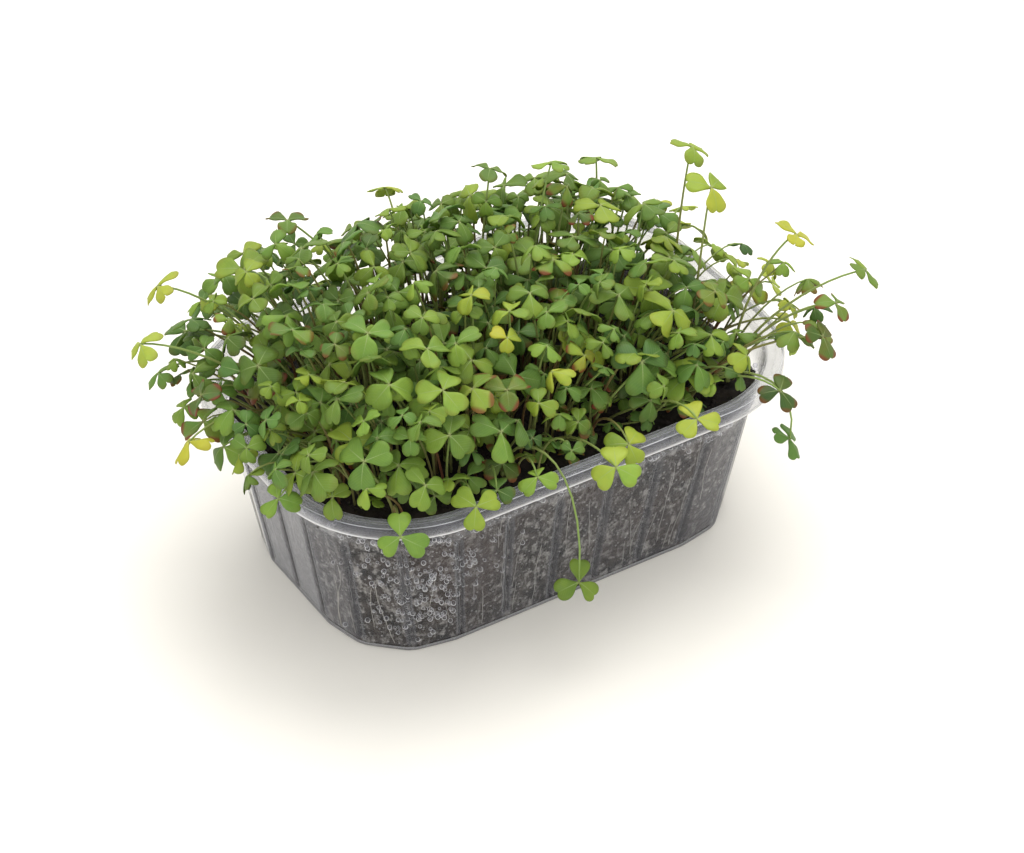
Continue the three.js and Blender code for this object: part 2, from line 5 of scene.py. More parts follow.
import bpy
import numpy as np
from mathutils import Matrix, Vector


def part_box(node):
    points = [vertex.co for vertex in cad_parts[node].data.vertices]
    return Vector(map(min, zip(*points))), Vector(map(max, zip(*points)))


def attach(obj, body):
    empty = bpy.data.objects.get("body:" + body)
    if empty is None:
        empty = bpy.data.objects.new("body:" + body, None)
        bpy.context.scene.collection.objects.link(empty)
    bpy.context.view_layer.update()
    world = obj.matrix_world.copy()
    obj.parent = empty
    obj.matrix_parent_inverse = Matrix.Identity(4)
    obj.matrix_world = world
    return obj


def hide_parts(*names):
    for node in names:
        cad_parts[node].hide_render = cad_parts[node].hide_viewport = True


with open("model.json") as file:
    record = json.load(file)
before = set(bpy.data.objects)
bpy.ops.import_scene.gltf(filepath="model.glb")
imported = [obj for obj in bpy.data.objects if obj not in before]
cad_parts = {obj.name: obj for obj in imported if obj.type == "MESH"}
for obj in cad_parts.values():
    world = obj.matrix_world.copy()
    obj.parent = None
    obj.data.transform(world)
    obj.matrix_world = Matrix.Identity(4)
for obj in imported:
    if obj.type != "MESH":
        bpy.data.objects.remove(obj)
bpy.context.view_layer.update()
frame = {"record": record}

MM = 0.001

# The studio. A pale floor that runs out to white, one wide soft light overhead, a soft fill
# from the camera's side, and the camera where the photograph was taken from.
scene = bpy.context.scene
scene.view_settings.view_transform = "Standard"
scene.view_settings.look = "None"
CAMERA_PLACE = Vector((-0.4197, -0.6742, 0.6474))
CAMERA_AIM = Vector((0.0003, -0.0099, 0.0400))
LENS = 119.2
SENSOR = 36.0
FLOOR_SIZE = 6.0


class Value:
    """A socket's value, so that shader sums are written as sums."""

    def __init__(self, finish, socket):
        self.finish = finish
        self.socket = socket

    def sum(self, operation, one, two):
        return self.finish.node("ShaderNodeMath", {0: one, 1: two}, operation=operation)

    def __add__(self, other):
        return self.sum("ADD", self, other)

    def __radd__(self, other):
        return self.sum("ADD", other, self)

    def __sub__(self, other):
        return self.sum("SUBTRACT", self, other)

    def __rsub__(self, other):
        return self.sum("SUBTRACT", other, self)

    def __mul__(self, other):
        return self.sum("MULTIPLY", self, other)

    def __rmul__(self, other):
        return self.sum("MULTIPLY", other, self)

    def __truediv__(self, other):
        return self.sum("DIVIDE", self, other)

    def __pow__(self, other):
        return self.sum("POWER", self, other)


class Finish:
    """One material, built node by node."""

    def __init__(self, name):
        self.material = bpy.data.materials.new(name)
        self.material.use_nodes = True
        self.tree = self.material.node_tree
        self.tree.nodes.clear()

    def node(self, kind, inputs=None, output=0, stops=None, **settings):
        made = self.tree.nodes.new(kind)
        for setting, value in settings.items():
            setattr(made, setting, value)
        if stops:
            elements = made.color_ramp.elements
            while len(elements) < len(stops):
                elements.new(0.5)
            for element, (place, colour) in zip(elements, stops):
                element.position = place
                element.color = (*colour, 1.0)
        for key, value in (inputs or {}).items():
            socket = made.inputs[key]
            if isinstance(value, Value):
                self.tree.links.new(value.socket, socket)
            elif isinstance(value, tuple) and len(value) == 3 and socket.type == "RGBA":
                socket.default_value = (*value, 1.0)
            else:
                socket.default_value = value
        return Value(self, made.outputs[output]) if made.outputs else None

    def mix(self, factor, one, two, blend_type="MIX"):
        return self.node("ShaderNodeMix", {0: factor, 6: one, 7: two}, output=2,
                         data_type="RGBA", blend_type=blend_type)

    def between(self, value, low, high, first=0.0, last=1.0):
        return self.node("ShaderNodeMapRange", {"Value": value, "From Min": low, "From Max": high,
                                                "To Min": first, "To Max": last})

    def noise(self, place, scale, detail=3.0, roughness=0.5):
        return self.node("ShaderNodeTexNoise", {"Vector": place, "Scale": scale, "Detail": detail,
                                                "Roughness": roughness})

    def stretched(self, place, scale):
        return self.node("ShaderNodeMapping", {"Vector": place, "Scale": scale})

    def object_place(self):
        return self.node("ShaderNodeTexCoord", output="Object")

    def bump(self, height, strength, distance):
        return self.node("ShaderNodeBump", {"Height": height, "Strength": strength,
                                            "Distance": distance})

    def close(self, shader):
        self.node("ShaderNodeOutputMaterial", {"Surface": shader})
        return self.material


def place_object(name, data):
    made = bpy.data.objects.new(name, data)
    scene.collection.objects.link(made)
    return made


def make_camera():
    data = bpy.data.cameras.new("camera")
    data.lens = LENS
    data.sensor_width = SENSOR
    data.clip_end = 20.0
    camera = place_object("camera", data)
    camera.location = CAMERA_PLACE
    camera.rotation_euler = (CAMERA_AIM - CAMERA_PLACE).to_track_quat("-Z", "Y").to_euler()
    scene.camera = camera


def make_light(name, place, aim, size, power, colour):
    data = bpy.data.lights.new(name, "AREA")
    data.size = size
    data.energy = power
    data.color = colour
    light = place_object(name, data)
    light.location = place
    light.rotation_euler = (Vector(aim) - Vector(place)).to_track_quat("-Z", "Y").to_euler()


def make_floor():
    half = FLOOR_SIZE / 2
    mesh = bpy.data.meshes.new("floor")
    mesh.from_pydata([(-half, -half, 0), (half, -half, 0), (half, half, 0), (-half, half, 0)],
                     [], [(0, 1, 2, 3)])
    floor = place_object("floor", mesh)
    paper = Finish("floor_paper")
    grain = paper.noise(paper.object_place(), 40.0)
    colour = paper.mix(grain, (0.915, 0.885, 0.815), (0.930, 0.900, 0.835))
    mesh.materials.append(paper.close(paper.node(
        "ShaderNodeBsdfPrincipled", {"Base Color": colour, "Roughness": 0.9,
                                     "Specular IOR Level": 0.1})))


make_camera()
make_floor()
make_light("overhead", (0.40, 0.45, 1.35), (0.0, 0.0, 0.0), 1.2, 15.0, (1.0, 0.99, 0.97))
make_light("front_fill", (-1.0, -1.3, 0.9), (0.0, 0.0, 0.05), 1.2, 7.0, (1.0, 1.0, 1.0))
world = bpy.data.worlds.new("studio_white")
world.use_nodes = True
world.node_tree.nodes["Background"].inputs["Color"].default_value = (1.0, 1.0, 1.0, 1.0)
world.node_tree.nodes["Background"].inputs["Strength"].default_value = 0.95
scene.world = world


# The punnet. One sheet of clear plastic drawn over a form: a flat foot, a flared wall with
# upright grooves between flat panels, a plain collar, a stepped flange and a turned-down lip.
RIM_HALF = [edge / 2 / MM for edge in (
    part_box("tray")[1][0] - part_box("tray")[0][0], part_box("tray")[1][1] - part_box("tray")[0][1])]
RIM_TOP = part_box("tray")[1][2] / MM
RIM_CORNER = 39.0
FOOT_HALF = [67.5, 43.3]
FOOT_CORNER = 27.0
FOOT_BEVEL = 1.2
LIP_BOTTOM = 54.5
FLANGE_WIDTH = 6.0
CAD_SHEET = 0.9
SHEET = 0.45
GROOVE_COUNT = 26
GROOVE_DEPTH = 1.1
GROOVE_SHARE = 0.1
GROOVE_START = 1.5
GROOVE_FOOT = 4.0
GROOVE_HEAD = 41.0
COLLAR_FOOT = 45.0
LEDGE = 0.35
FLATNESS = 0.9
FLAT_TO = 52
FLAT_FADE = 12
PANEL_EDGES = [-9, -1, 1, 9]
PANEL_STEPS = [-0.5, -0.38, -0.26, -0.16, -0.115, -0.08, -0.04,
               0.0, 0.04, 0.08, 0.115, 0.16, 0.26, 0.38]
FOOT_ROUND = [0.4, 0.35]
WALL_HEIGHTS = [FOOT_BEVEL, 2.0, 3.0, GROOVE_FOOT, 7, 14, 22, 30, 38, GROOVE_HEAD, 42.5, 44,
                COLLAR_FOOT, 45.6, 50, 55]
INNER_FROM = 2.0
UNDER_FLANGE = [(FLANGE_WIDTH - CAD_SHEET - 0.1, 56.9), (4.6, 57.25), (2.5, 57.3), (1.2, 57.4),
                (0.65, 57.0), (0.45, 56.3), (0.45, 54.7)]
OVER_FLANGE = [(0.45, LIP_BOTTOM), (0.0, LIP_BOTTOM), (0.0, 57.0), (0.1, 57.6), (0.5, RIM_TOP),
               (2.3, RIM_TOP), (2.65, 57.9), (2.95, 57.62), (4.9, 57.6), (5.5, 57.4), (5.75, 56.8)]
# The flange's creases, along which bright lines are painted on as highlights.
HIGHLIGHT_CREASES = [(0.0, LIP_BOTTOM), (0.5, RIM_TOP), (2.65, 57.9), (5.5, 57.4)]


def outline_point(half, corner, share):
    """A point of a rounded rectangle, a share of the way round from the middle of its +X side."""
    straight_x = half[0] - corner
    straight_y = half[1] - corner
    arc = corner * math.pi / 2
    quarter = straight_x + straight_y + arc
    along = (share - math.floor(share)) * 4 * quarter
    quadrant = math.floor(along / quarter) % 4
    rest = along - quadrant * quarter
    walked = rest if quadrant % 2 == 0 else quarter - rest
    x, y = half[0], walked
    if walked > straight_y + arc:
        x, y = straight_x - (walked - straight_y - arc), half[1]
    elif walked > straight_y:
        angle = (walked - straight_y) / corner
        x = straight_x + corner * math.cos(angle)
        y = straight_y + corner * math.sin(angle)
    return (x if quadrant in (0, 3) else -x, y if quadrant < 2 else -y)


def outside_by(point, half, corner):
    """How far a point lies outside a rounded rectangle, negative inside it."""
    x = max(abs(point[0]) - (half[0] - corner), 0)
    y = max(abs(point[1]) - (half[1] - corner), 0)
    return math.sqrt(x * x + y * y) - corner


def wall_outline(z, inset):
    share = z / (RIM_TOP - CAD_SHEET)
    top = FLANGE_WIDTH - CAD_SHEET

    def spread(foot, rim):
        return foot + (rim - top - foot) * share - inset

    half = [spread(FOOT_HALF[0], RIM_HALF[0]), spread(FOOT_HALF[1], RIM_HALF[1])]
    return half, spread(FOOT_CORNER, RIM_CORNER)


def groove_press(z):
    """How far the grooves are pressed in at a height: full between their foot and head."""
    rise = min(max((z - GROOVE_START) / (GROOVE_FOOT - GROOVE_START), 0), 1)
    fall = min(max((COLLAR_FOOT - z) / (COLLAR_FOOT - GROOVE_HEAD), 0), 1)
    return min(rise, fall)


def punnet_ring(half, corner, z, press, flat):
    """One ring of the wall: grooves pressed in, panels between them more or less flat."""
    ring = []
    for groove in range(GROOVE_COUNT):
        edges = [outline_point(half, corner, (groove + side * GROOVE_SHARE) / GROOVE_COUNT)
                 for side in PANEL_EDGES]
        for step in PANEL_STEPS:
            x, y = outline_point(half, corner, (groove + step) / GROOVE_COUNT)
            if abs(step) > GROOVE_SHARE:
                near, far = (edges[1], edges[0]) if step < 0 else (edges[2], edges[3])
                share = (abs(step) - GROOVE_SHARE) / (1 - 2 * GROOVE_SHARE)
                x += flat * (near[0] + (far[0] - near[0]) * share - x)
                y += flat * (near[1] + (far[1] - near[1]) * share - y)
            else:
                depth = press * GROOVE_DEPTH * 0.5 * (1 + math.cos(math.pi * step / GROOVE_SHARE))
                inner = outline_point([half[0] - 1, half[1] - 1], corner - 1,
                                      (groove + step) / GROOVE_COUNT)
                x, y = x + (inner[0] - x) * depth, y + (inner[1] - y) * depth
            ring.append((x, y, z))
    return ring


def loft(name, rings, caps):
    """A closed skin over rings of the same number of points, shut by a fan at each end."""
    count = len(rings[0])
    points = [point for ring in rings for point in ring] + caps
    first, last = len(points) - 2, len(points) - 1
    end = (len(rings) - 1) * count
    faces = []
    for index in range(count):
        after = (index + 1) % count
        faces.append((first, after, index))
        faces.append((end + index, end + after, last))
        for ring in range(len(rings) - 1):
            low, high = ring * count, (ring + 1) * count
            faces.append((low + index, low + after, high + after, high + index))
    mesh = bpy.data.meshes.new(name)
    mesh.from_pydata([tuple(value * MM for value in point) for point in points], [], faces)
    mesh.polygons.foreach_set("use_smooth", [True] * len(mesh.polygons))
    return mesh


def wall_ring(z, inset):
    half, corner = wall_outline(z, inset)
    press = groove_press(z)
    return punnet_ring(half, corner, z, press, FLATNESS * min(1, max(0, (FLAT_TO - z) / FLAT_FADE)))


def rim_ring(inset, z):
    return punnet_ring([RIM_HALF[0] - inset, RIM_HALF[1] - inset], RIM_CORNER - inset, z, 0, 0)


def make_punnet():
    rings = [punnet_ring(*wall_outline(0, FOOT_BEVEL), 0, 0, FLATNESS),
             punnet_ring(*wall_outline(*FOOT_ROUND), FOOT_ROUND[0], 0, FLATNESS)]
    rings += [wall_ring(z, 0 if z > COLLAR_FOOT else LEDGE) for z in WALL_HEIGHTS]
    edge_lines = [0] * len(rings)
    flange = UNDER_FLANGE + OVER_FLANGE
    rings += [rim_ring(inset, z) for inset, z in flange]
    edge_lines += [1 if place in HIGHLIGHT_CREASES else 0 for place in flange]
    inner_heights = [z for z in reversed(WALL_HEIGHTS) if z >= INNER_FROM]
    rings += [wall_ring(z, SHEET + (0 if z > COLLAR_FOOT else LEDGE)) for z in inner_heights]
    rings.append(punnet_ring(*wall_outline(SHEET, SHEET + FOOT_BEVEL), SHEET, 0, FLATNESS))
    edge_lines += [0] * (len(rings) - len(edge_lines))
    punnet = place_object("clear_punnet", loft("clear_punnet", rings, [(0, 0, 0), (0, 0, SHEET)]))
    heights = [ring[0][2] for ring in rings]
    # The flank value marks both sides of each groove, where dark lines of painted shade run down the
    # sheet.
    for label, form in (("groove", lambda step: 0.5 * (1 + math.cos(math.pi * step))),
                        ("groove_flank_shade", lambda step: math.sin(math.pi * abs(step)) ** 2)):
        values = [groove_press(z) * (form(step / GROOVE_SHARE) if abs(step) < GROOVE_SHARE else 0)
                  for z in heights for _ in range(GROOVE_COUNT) for step in PANEL_STEPS]
        held = punnet.data.attributes.new(label, "FLOAT", "POINT")
        held.data.foreach_set("value", values + [0, 0])
    held = punnet.data.attributes.new("edge_highlight", "FLOAT", "POINT")
    held.data.foreach_set("value", [line for line in edge_lines for _ in rings[0]] + [0, 0])
    punnet.data.materials.append(clear_sheet())
    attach(punnet, "root")
    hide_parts("tray")


def clear_sheet():
    """Thin clear plastic: see-through face on, hazy with damp; its lighter grey where it turns away is
    a painted reflection, the dark lines at the groove flanks and the dark band at the foot are painted
    shade, and the white lines along the rim's creases are painted highlights.
    """
    sheet = Finish("clear_sheet")
    place = sheet.object_place()
    height = sheet.node("ShaderNodeSeparateXYZ", {"Vector": place}, output="Z")
    facing = sheet.node("ShaderNodeLayerWeight", {"Blend": 0.45}, output="Facing")
    streaks = sheet.noise(sheet.stretched(place, (1.0, 1.0, 0.12)), 260.0, 4.0, 0.6)
    clouds = sheet.noise(place, 45.0, 3.0)
    groove = sheet.node("ShaderNodeAttribute", attribute_name="groove", output="Fac")
    # The groove flanks are drawn darker and less clear: painted shade running down each side of a
    # groove.
    groove_flank_shade = sheet.node("ShaderNodeAttribute", attribute_name="groove_flank_shade", output="Fac")
    line = sheet.node("ShaderNodeAttribute", attribute_name="edge_highlight", output="Fac")
    damp = sheet.between(clouds, 0.50, 0.75, 0.0, 0.08)
    streak = sheet.between(streaks, 0.52, 0.72, 0.0, 0.10)
    rim = sheet.between(height, 0.0538, 0.0545, 0.0, 0.13)
    collar = sheet.between(height, 0.0465, 0.0500, 0.0, 0.06)
    panel = (damp * 0.5 + streak * 0.3 + 0.45 * (facing * 1.3) ** 4.2) * (1 - groove * 0.8)
    # Near-white, more opaque lines along the rim's creases: painted highlights.
    painted_edge_highlight = line ** 6.0
    # A brownish dark, more opaque band along the lowest 2 mm of the wall, where it stands on the floor:
    # painted contact shade.
    foot = sheet.between(height, 0.0006, 0.0018, 0.6, 0.0)
    above_foot = sheet.between(height, 0.0003, 0.0025, 0.15, 1.0)
    body = 0.01 + panel * above_foot + rim + collar + groove_flank_shade * 0.55 + painted_edge_highlight * 0.45 + foot
    # Face on the sheet is dark grey, and where it turns from view it is a lighter grey: a painted
    # reflection of the bright room.
    turned = sheet.mix(facing, (0.20, 0.20, 0.23), (0.52, 0.53, 0.56))
    shaded = sheet.mix(foot, sheet.mix(groove_flank_shade, turned, (0.05, 0.05, 0.055)), (0.12, 0.11, 0.10))
    tint = sheet.mix(painted_edge_highlight, shaded, (0.97, 0.97, 1.0))
    shell = sheet.node("ShaderNodeBsdfPrincipled", {
        "Base Color": tint, "Roughness": sheet.between(clouds, 0.3, 0.8, 0.06, 0.2),
        "Specular IOR Level": 0.6, "Normal": sheet.bump(streaks, 0.07, 0.0003)})
    clear = sheet.node("ShaderNodeBsdfTransparent", {"Color": (0.96, 0.965, 0.975)})
    factor = sheet.between(body, 0.0, 1.0)
    return sheet.close(sheet.node("ShaderNodeMixShader", {0: factor, 1: clear, 2: shell}))


make_punnet()


# The compost. Damp dark peat with paler crumbs and fibres, pressed into the grooves of the wall
# up to its level line, with loose crumbs lying on top between the seedlings.
SOIL_LEVEL = 46.5
CAD_SOIL_GAP = 0.35
SOIL_LUMP = 0.7
SOIL_LUMP_LENGTH = 7.0
SOIL_SWERVE = 0.6
SOIL_SWERVE_LENGTH = 5
SOIL_FIT = 0.2
SOIL_HEIGHTS = [1.0, 2.0, 3.0, GROOVE_FOOT, 10, 20, 30, 38, GROOVE_HEAD, 43, 44.5]
SOIL_SCALES = [0.985, 0.95, 0.9, 0.84, 0.77, 0.7, 0.62, 0.54, 0.46, 0.38, 0.3, 0.22, 0.14, 0.07]
ROUGH_HEIGHT = 0.5
ROUGH_WAVES = [1.7, 1.3]
ROUGH_SWERVE = [2, 1.5]
ROUGH_SWERVE_WAVES = [0.9, 1.1]
EDGE_LEVEL = 46.3
EDGE_LUMP = 0.8
EDGE_WAVES = [0.42, 0.2, 0.35, 0.5]
EDGE_TILT = 1.5
EDGE_HIGH = math.radians(-147)
EDGE_RISE_FROM = 0.8
EDGE_RISE_OVER = 0.2
CRUMB_DENSITY = 90000.0
CRUMB_SIZE = 0.0011
CRUMB_SEED = 5
CRUMB_SCALES = [(0.4, 0.4, 0.3), (1.3, 1.1, 0.9)]
LEVEL_ENOUGH = 0.6
FULL_TURN = 6.28


def soil_top(x, y):
    swerve = SOIL_SWERVE * math.sin(y / SOIL_SWERVE_LENGTH)
    wave = math.sin(x / SOIL_LUMP_LENGTH + swerve) * math.cos(y / SOIL_LUMP_LENGTH)
    return SOIL_LEVEL + SOIL_LUMP * wave


def soil_rough(x, y):
    """Small lumps on the compost, finer than its long waves."""
    one = math.sin(ROUGH_WAVES[0] * x + ROUGH_SWERVE[0] * math.sin(ROUGH_SWERVE_WAVES[0] * y))
    two = math.sin(ROUGH_WAVES[1] * y + ROUGH_SWERVE[1] * math.sin(ROUGH_SWERVE_WAVES[1] * x))
    return ROUGH_HEIGHT * one * two


def soil_edge(x, y):
    """The compost's line on the wall: lumpy, and higher at the front corner than at the back."""
    lump = (EDGE_LUMP * math.sin(EDGE_WAVES[0] * x + EDGE_WAVES[1] * y)
            * math.sin(EDGE_WAVES[2] * y - EDGE_WAVES[3] * x))
    return EDGE_LEVEL + lump + EDGE_TILT * math.cos(math.atan2(y, x) - EDGE_HIGH)


def rise_to_edge(x, y, scale):
    """Near the wall the top runs up or down to the line on the wall."""
    near = max(0.0, (scale - EDGE_RISE_FROM) / EDGE_RISE_OVER)
    return (soil_edge(x, y) - SOIL_LEVEL) * near ** 2


def make_soil():
    inset = SHEET + LEDGE + SOIL_FIT
    foot = SHEET + SOIL_FIT
    rings = [punnet_ring(*wall_outline(foot, inset + FOOT_BEVEL), foot, 0, FLATNESS)]
    rings += [wall_ring(z, inset) for z in SOIL_HEIGHTS]
    edge = wall_ring(SOIL_LEVEL, inset)
    rings.append([(x, y, soil_edge(x, y)) for x, y, _ in edge])
    side_rings = len(rings)
    for scale in SOIL_SCALES:
        ring = [(x * scale, y * scale) for x, y, _ in edge]
        rings.append([(x, y, soil_top(x, y) + soil_rough(x, y) + rise_to_edge(x, y, scale))
                      for x, y in ring])
    caps = [(0, 0, foot), (0, 0, soil_top(0, 0))]
    soil = place_object("compost", loft("compost", rings, caps))
    held = soil.data.attributes.new("at_wall", "FLOAT", "POINT")
    at_wall = side_rings * len(edge)
    held.data.foreach_set("value", [1] * at_wall + [0] * (len(soil.data.vertices) - at_wall))
    soil.data.materials.append(compost())
    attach(soil, "root")
    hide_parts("soil")
    return soil


def compost():
    peat = Finish("compost")
    place = peat.object_place()
    clods = peat.noise(place, 170.0, 5.0, 0.65)
    grains = peat.node("ShaderNodeTexVoronoi", {"Vector": place, "Scale": 560.0})
    fibres = peat.noise(peat.stretched(place, (1.0, 1.0, 0.75)), 430.0, 5.0, 0.7)
    threads = peat.noise(peat.stretched(place, (1.0, 1.0, 0.06)), 700.0, 3.0, 0.6)
    patches = peat.noise(place, 38.0, 2.0)
    at_wall = peat.node("ShaderNodeAttribute", attribute_name="at_wall", output="Fac")
    dark = peat.mix(peat.between(clods, 0.35, 0.66), (0.006, 0.005, 0.004), (0.085, 0.073, 0.063))
    fibred = peat.mix(peat.between(fibres, 0.50, 0.66, 0.0, 0.9), dark, (0.40, 0.38, 0.35))
    threaded = peat.mix(peat.between(threads, 0.60, 0.70, 0.0, 0.35), fibred, (0.38, 0.36, 0.33))
    warmed = peat.mix(peat.between(patches, 0.42, 0.7, 0.0, 0.5), threaded, (0.055, 0.032, 0.023))
    flecked = peat.mix(peat.between(grains, 0.0, 0.26, 0.75, 0.0), warmed, (0.60, 0.58, 0.55))
    # The top of the compost is a darker copy of the same peat, near black and without the pale fibres
    # and flecks of its side: painted shade under the leaves.
    top = peat.mix(peat.between(clods, 0.4, 0.7), (0.007, 0.005, 0.004), (0.045, 0.033, 0.025))
    shaded = peat.mix(at_wall, top, flecked)
    relief = clods * 0.7 + fibres * 0.5 + grains * 0.3
    return peat.close(peat.node("ShaderNodeBsdfPrincipled", {
        "Base Color": shaded, "Roughness": peat.between(clods, 0.3, 0.7, 0.55, 0.95),
        "Specular IOR Level": 0.35, "Normal": peat.bump(relief, 0.9, 0.0012)}))


def node_tree(name, sizes):
    """An empty geometry tree with a named input for each size."""
    tree = bpy.data.node_groups.new(name, "GeometryNodeTree")
    tree.interface.new_socket("Geometry", in_out="INPUT", socket_type="NodeSocketGeometry")
    for label, value in sizes.items():
        kind = "NodeSocketInt" if isinstance(value, int) else "NodeSocketFloat"
        tree.interface.new_socket(label, in_out="INPUT", socket_type=kind)
    tree.interface.new_socket("Geometry", in_out="OUTPUT", socket_type="NodeSocketGeometry")
    return tree


def grown_mesh(piece, tree, sizes):
    """Run a geometry tree on a piece and keep its result as a plain mesh."""
    modifier = piece.modifiers.new(tree.name, "NODES")
    modifier.node_group = tree
    for item in tree.interface.items_tree:
        if item.in_out == "INPUT" and item.name in sizes:
            modifier[item.identifier] = sizes[item.name]
    bpy.context.view_layer.update()
    graph = bpy.context.evaluated_depsgraph_get()
    mesh = bpy.data.meshes.new_from_object(piece.evaluated_get(graph), depsgraph=graph)
    piece.modifiers.remove(modifier)
    return mesh


def join_nodes(tree, links):
    for from_node, from_socket, to_node, to_socket in links:
        tree.links.new(from_node.outputs[from_socket], to_node.inputs[to_socket])


def make_crumbs(soil):
    """Loose crumbs strewn on the top of the compost."""
    sizes = {"Density": CRUMB_DENSITY, "Crumb Size": CRUMB_SIZE, "Seed": CRUMB_SEED}
    tree = node_tree("strewn_crumbs", sizes)
    new = tree.nodes.new
    entry, leave = new("NodeGroupInput"), new("NodeGroupOutput")
    spread = new("GeometryNodeDistributePointsOnFaces")
    normal, split = new("GeometryNodeInputNormal"), new("ShaderNodeSeparateXYZ")
    flat = new("FunctionNodeCompare")
    flat.inputs["B"].default_value = LEVEL_ENOUGH
    crumb = new("GeometryNodeMeshIcoSphere")
    crumb.inputs["Subdivisions"].default_value = 1
    turn = new("FunctionNodeRandomValue")
    turn.data_type = "FLOAT_VECTOR"
    turn.inputs[1].default_value = (FULL_TURN, FULL_TURN, FULL_TURN)
    size = new("FunctionNodeRandomValue")
    size.data_type = "FLOAT_VECTOR"
    size.inputs[0].default_value, size.inputs[1].default_value = CRUMB_SCALES
    place = new("GeometryNodeInstanceOnPoints")
    real, finish = new("GeometryNodeRealizeInstances"), new("GeometryNodeSetMaterial")
    finish.inputs["Material"].default_value = soil.data.materials[0]
    join_nodes(tree, [
        (entry, "Geometry", spread, "Mesh"), (entry, "Density", spread, "Density"),
        (entry, "Seed", spread, "Seed"), (entry, "Crumb Size", crumb, "Radius"),
        (entry, "Seed", turn, "Seed"), (entry, "Seed", size, "Seed"),
        (normal, "Normal", split, "Vector"), (split, "Z", flat, "A"),
        (flat, "Result", spread, "Selection"),
        (spread, "Points", place, "Points"), (crumb, "Mesh", place, "Instance"),
        (turn, "Value", place, "Rotation"), (size, "Value", place, "Scale"),
        (place, "Instances", real, "Geometry"), (real, "Geometry", finish, "Geometry"),
        (finish, "Geometry", leave, "Geometry")])
    crumbs = place_object("loose_crumbs", grown_mesh(soil, tree, sizes))
    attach(crumbs, "root")


soil_piece = make_soil()
make_crumbs(soil_piece)


# The fine roots. Pale threads that reached the wall and ran down it, between the sheet and the
# compost, and a few that climbed the collar above it.
ROOT_COUNT = 120
ROOT_THICKNESS = 0.00007
ROOT_STEPS = 26
ROOT_SEED = 41
ROOT_LIFT = 0.1
ROOT_START = [12, 53]
ROOT_END = 2.5
ROOT_SLANT = 0.12
ROOT_TURN = 0.07
ROOT_KEEP = 0.92
ROOT_AROUND = 400
ROOT_LENGTH = [0.3, 1.5]
ROOT_LENGTH_BIAS = 1.5
ROOT_FALL = [0.4, 1.2]
ROOT_FEWEST = 3
ROOT_SIDES = 4


def wall_place(share, z, inset):
    """A point just inside the wall, a share of the way round, at a height, grooves counted."""
    half, corner = wall_outline(z, inset)
    x, y = outline_point(half, corner, share)
    step = (share * GROOVE_COUNT + 0.5) % 1 - 0.5
    if abs(step) < GROOVE_SHARE:
        depth = groove_press(z) * GROOVE_DEPTH * 0.5 * (1 + math.cos(math.pi * step / GROOVE_SHARE))
        inner = outline_point([half[0] - 1, half[1] - 1], corner - 1, share)
        x, y = x + (inner[0] - x) * depth, y + (inner[1] - y) * depth
    return (x, y, z)


def root_paths():
    lot = random.Random(ROOT_SEED)
    paths = []
    for _ in range(ROOT_COUNT):
        share, z = lot.random(), lot.uniform(*ROOT_START)
        drift = lot.uniform(-ROOT_SLANT, ROOT_SLANT)
        length = lot.uniform(*ROOT_LENGTH) ** ROOT_LENGTH_BIAS
        path = []
        for _ in range(ROOT_STEPS):
            path.append(wall_place(share, z, SHEET + LEDGE + ROOT_LIFT))
            drift = ROOT_KEEP * drift + lot.uniform(-ROOT_TURN, ROOT_TURN)
            share += drift * length / ROOT_AROUND
            z -= length * lot.uniform(*ROOT_FALL)
            if z < ROOT_END:
                break
        if len(path) > ROOT_FEWEST:
            paths.append(path)
    return paths


def threads_object(name, paths):
    data = bpy.data.curves.new(name, "CURVE")
    data.dimensions = "3D"
    for path in paths:
        spline = data.splines.new("POLY")
        spline.points.add(len(path) - 1)
        for point, place in zip(spline.points, path):
            point.co = (*[value * MM for value in place], 1.0)
    return place_object(name, data)


def make_roots():
    root_finish = Finish("fine_root")
    place = root_finish.object_place()
    colour = root_finish.mix(root_finish.noise(place, 300.0),
                             (0.24, 0.225, 0.195), (0.58, 0.56, 0.51))
    material = root_finish.close(root_finish.node("ShaderNodeBsdfPrincipled", {
        "Base Color": colour, "Roughness": 0.5}))
    sizes = {"Thickness": ROOT_THICKNESS}
    tree = node_tree("root_threads", sizes)
    new = tree.nodes.new
    entry, leave = new("NodeGroupInput"), new("NodeGroupOutput")
    section, skin = new("GeometryNodeCurvePrimitiveCircle"), new("GeometryNodeCurveToMesh")
    section.inputs["Resolution"].default_value = ROOT_SIDES
    skin.inputs["Fill Caps"].default_value = True
    real, finish = new("GeometryNodeRealizeInstances"), new("GeometryNodeSetMaterial")
    finish.inputs["Material"].default_value = material
    join_nodes(tree, [
        (entry, "Geometry", skin, "Curve"), (entry, "Thickness", section, "Radius"),
        (section, "Curve", skin, "Profile Curve"), (skin, "Mesh", real, "Geometry"),
        (real, "Geometry", finish, "Geometry"), (finish, "Geometry", leave, "Geometry")])
    threads = threads_object("root_threads", root_paths())
    roots = place_object("fine_roots", grown_mesh(threads, tree, sizes))
    bpy.data.objects.remove(threads)
    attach(roots, "root")


make_roots()


# The drops. Water that has gathered as small beads on the inside of the wall: three in five
# along the compost's edge, the rest in wet patches (share of the way round, height, spread).
DROP_COUNT = 760
DROP_SIZE = 0.00047
DROP_SEED = 17
DROP_SCALES = [0.5, 1.7]
DROP_SCALE_SEED = 3
DROP_LINE = [-0.2, 1.1]
DROP_HEIGHTS = [3, 53]
EDGE_DROPS = [3, 5]
PATCH_SPREAD = [0.016, 1.2]
WET_PATCHES = [(0.625, 30, 6), (0.638, 22, 5), (0.600, 35, 5), (0.662, 32, 5), (0.615, 14, 4)]


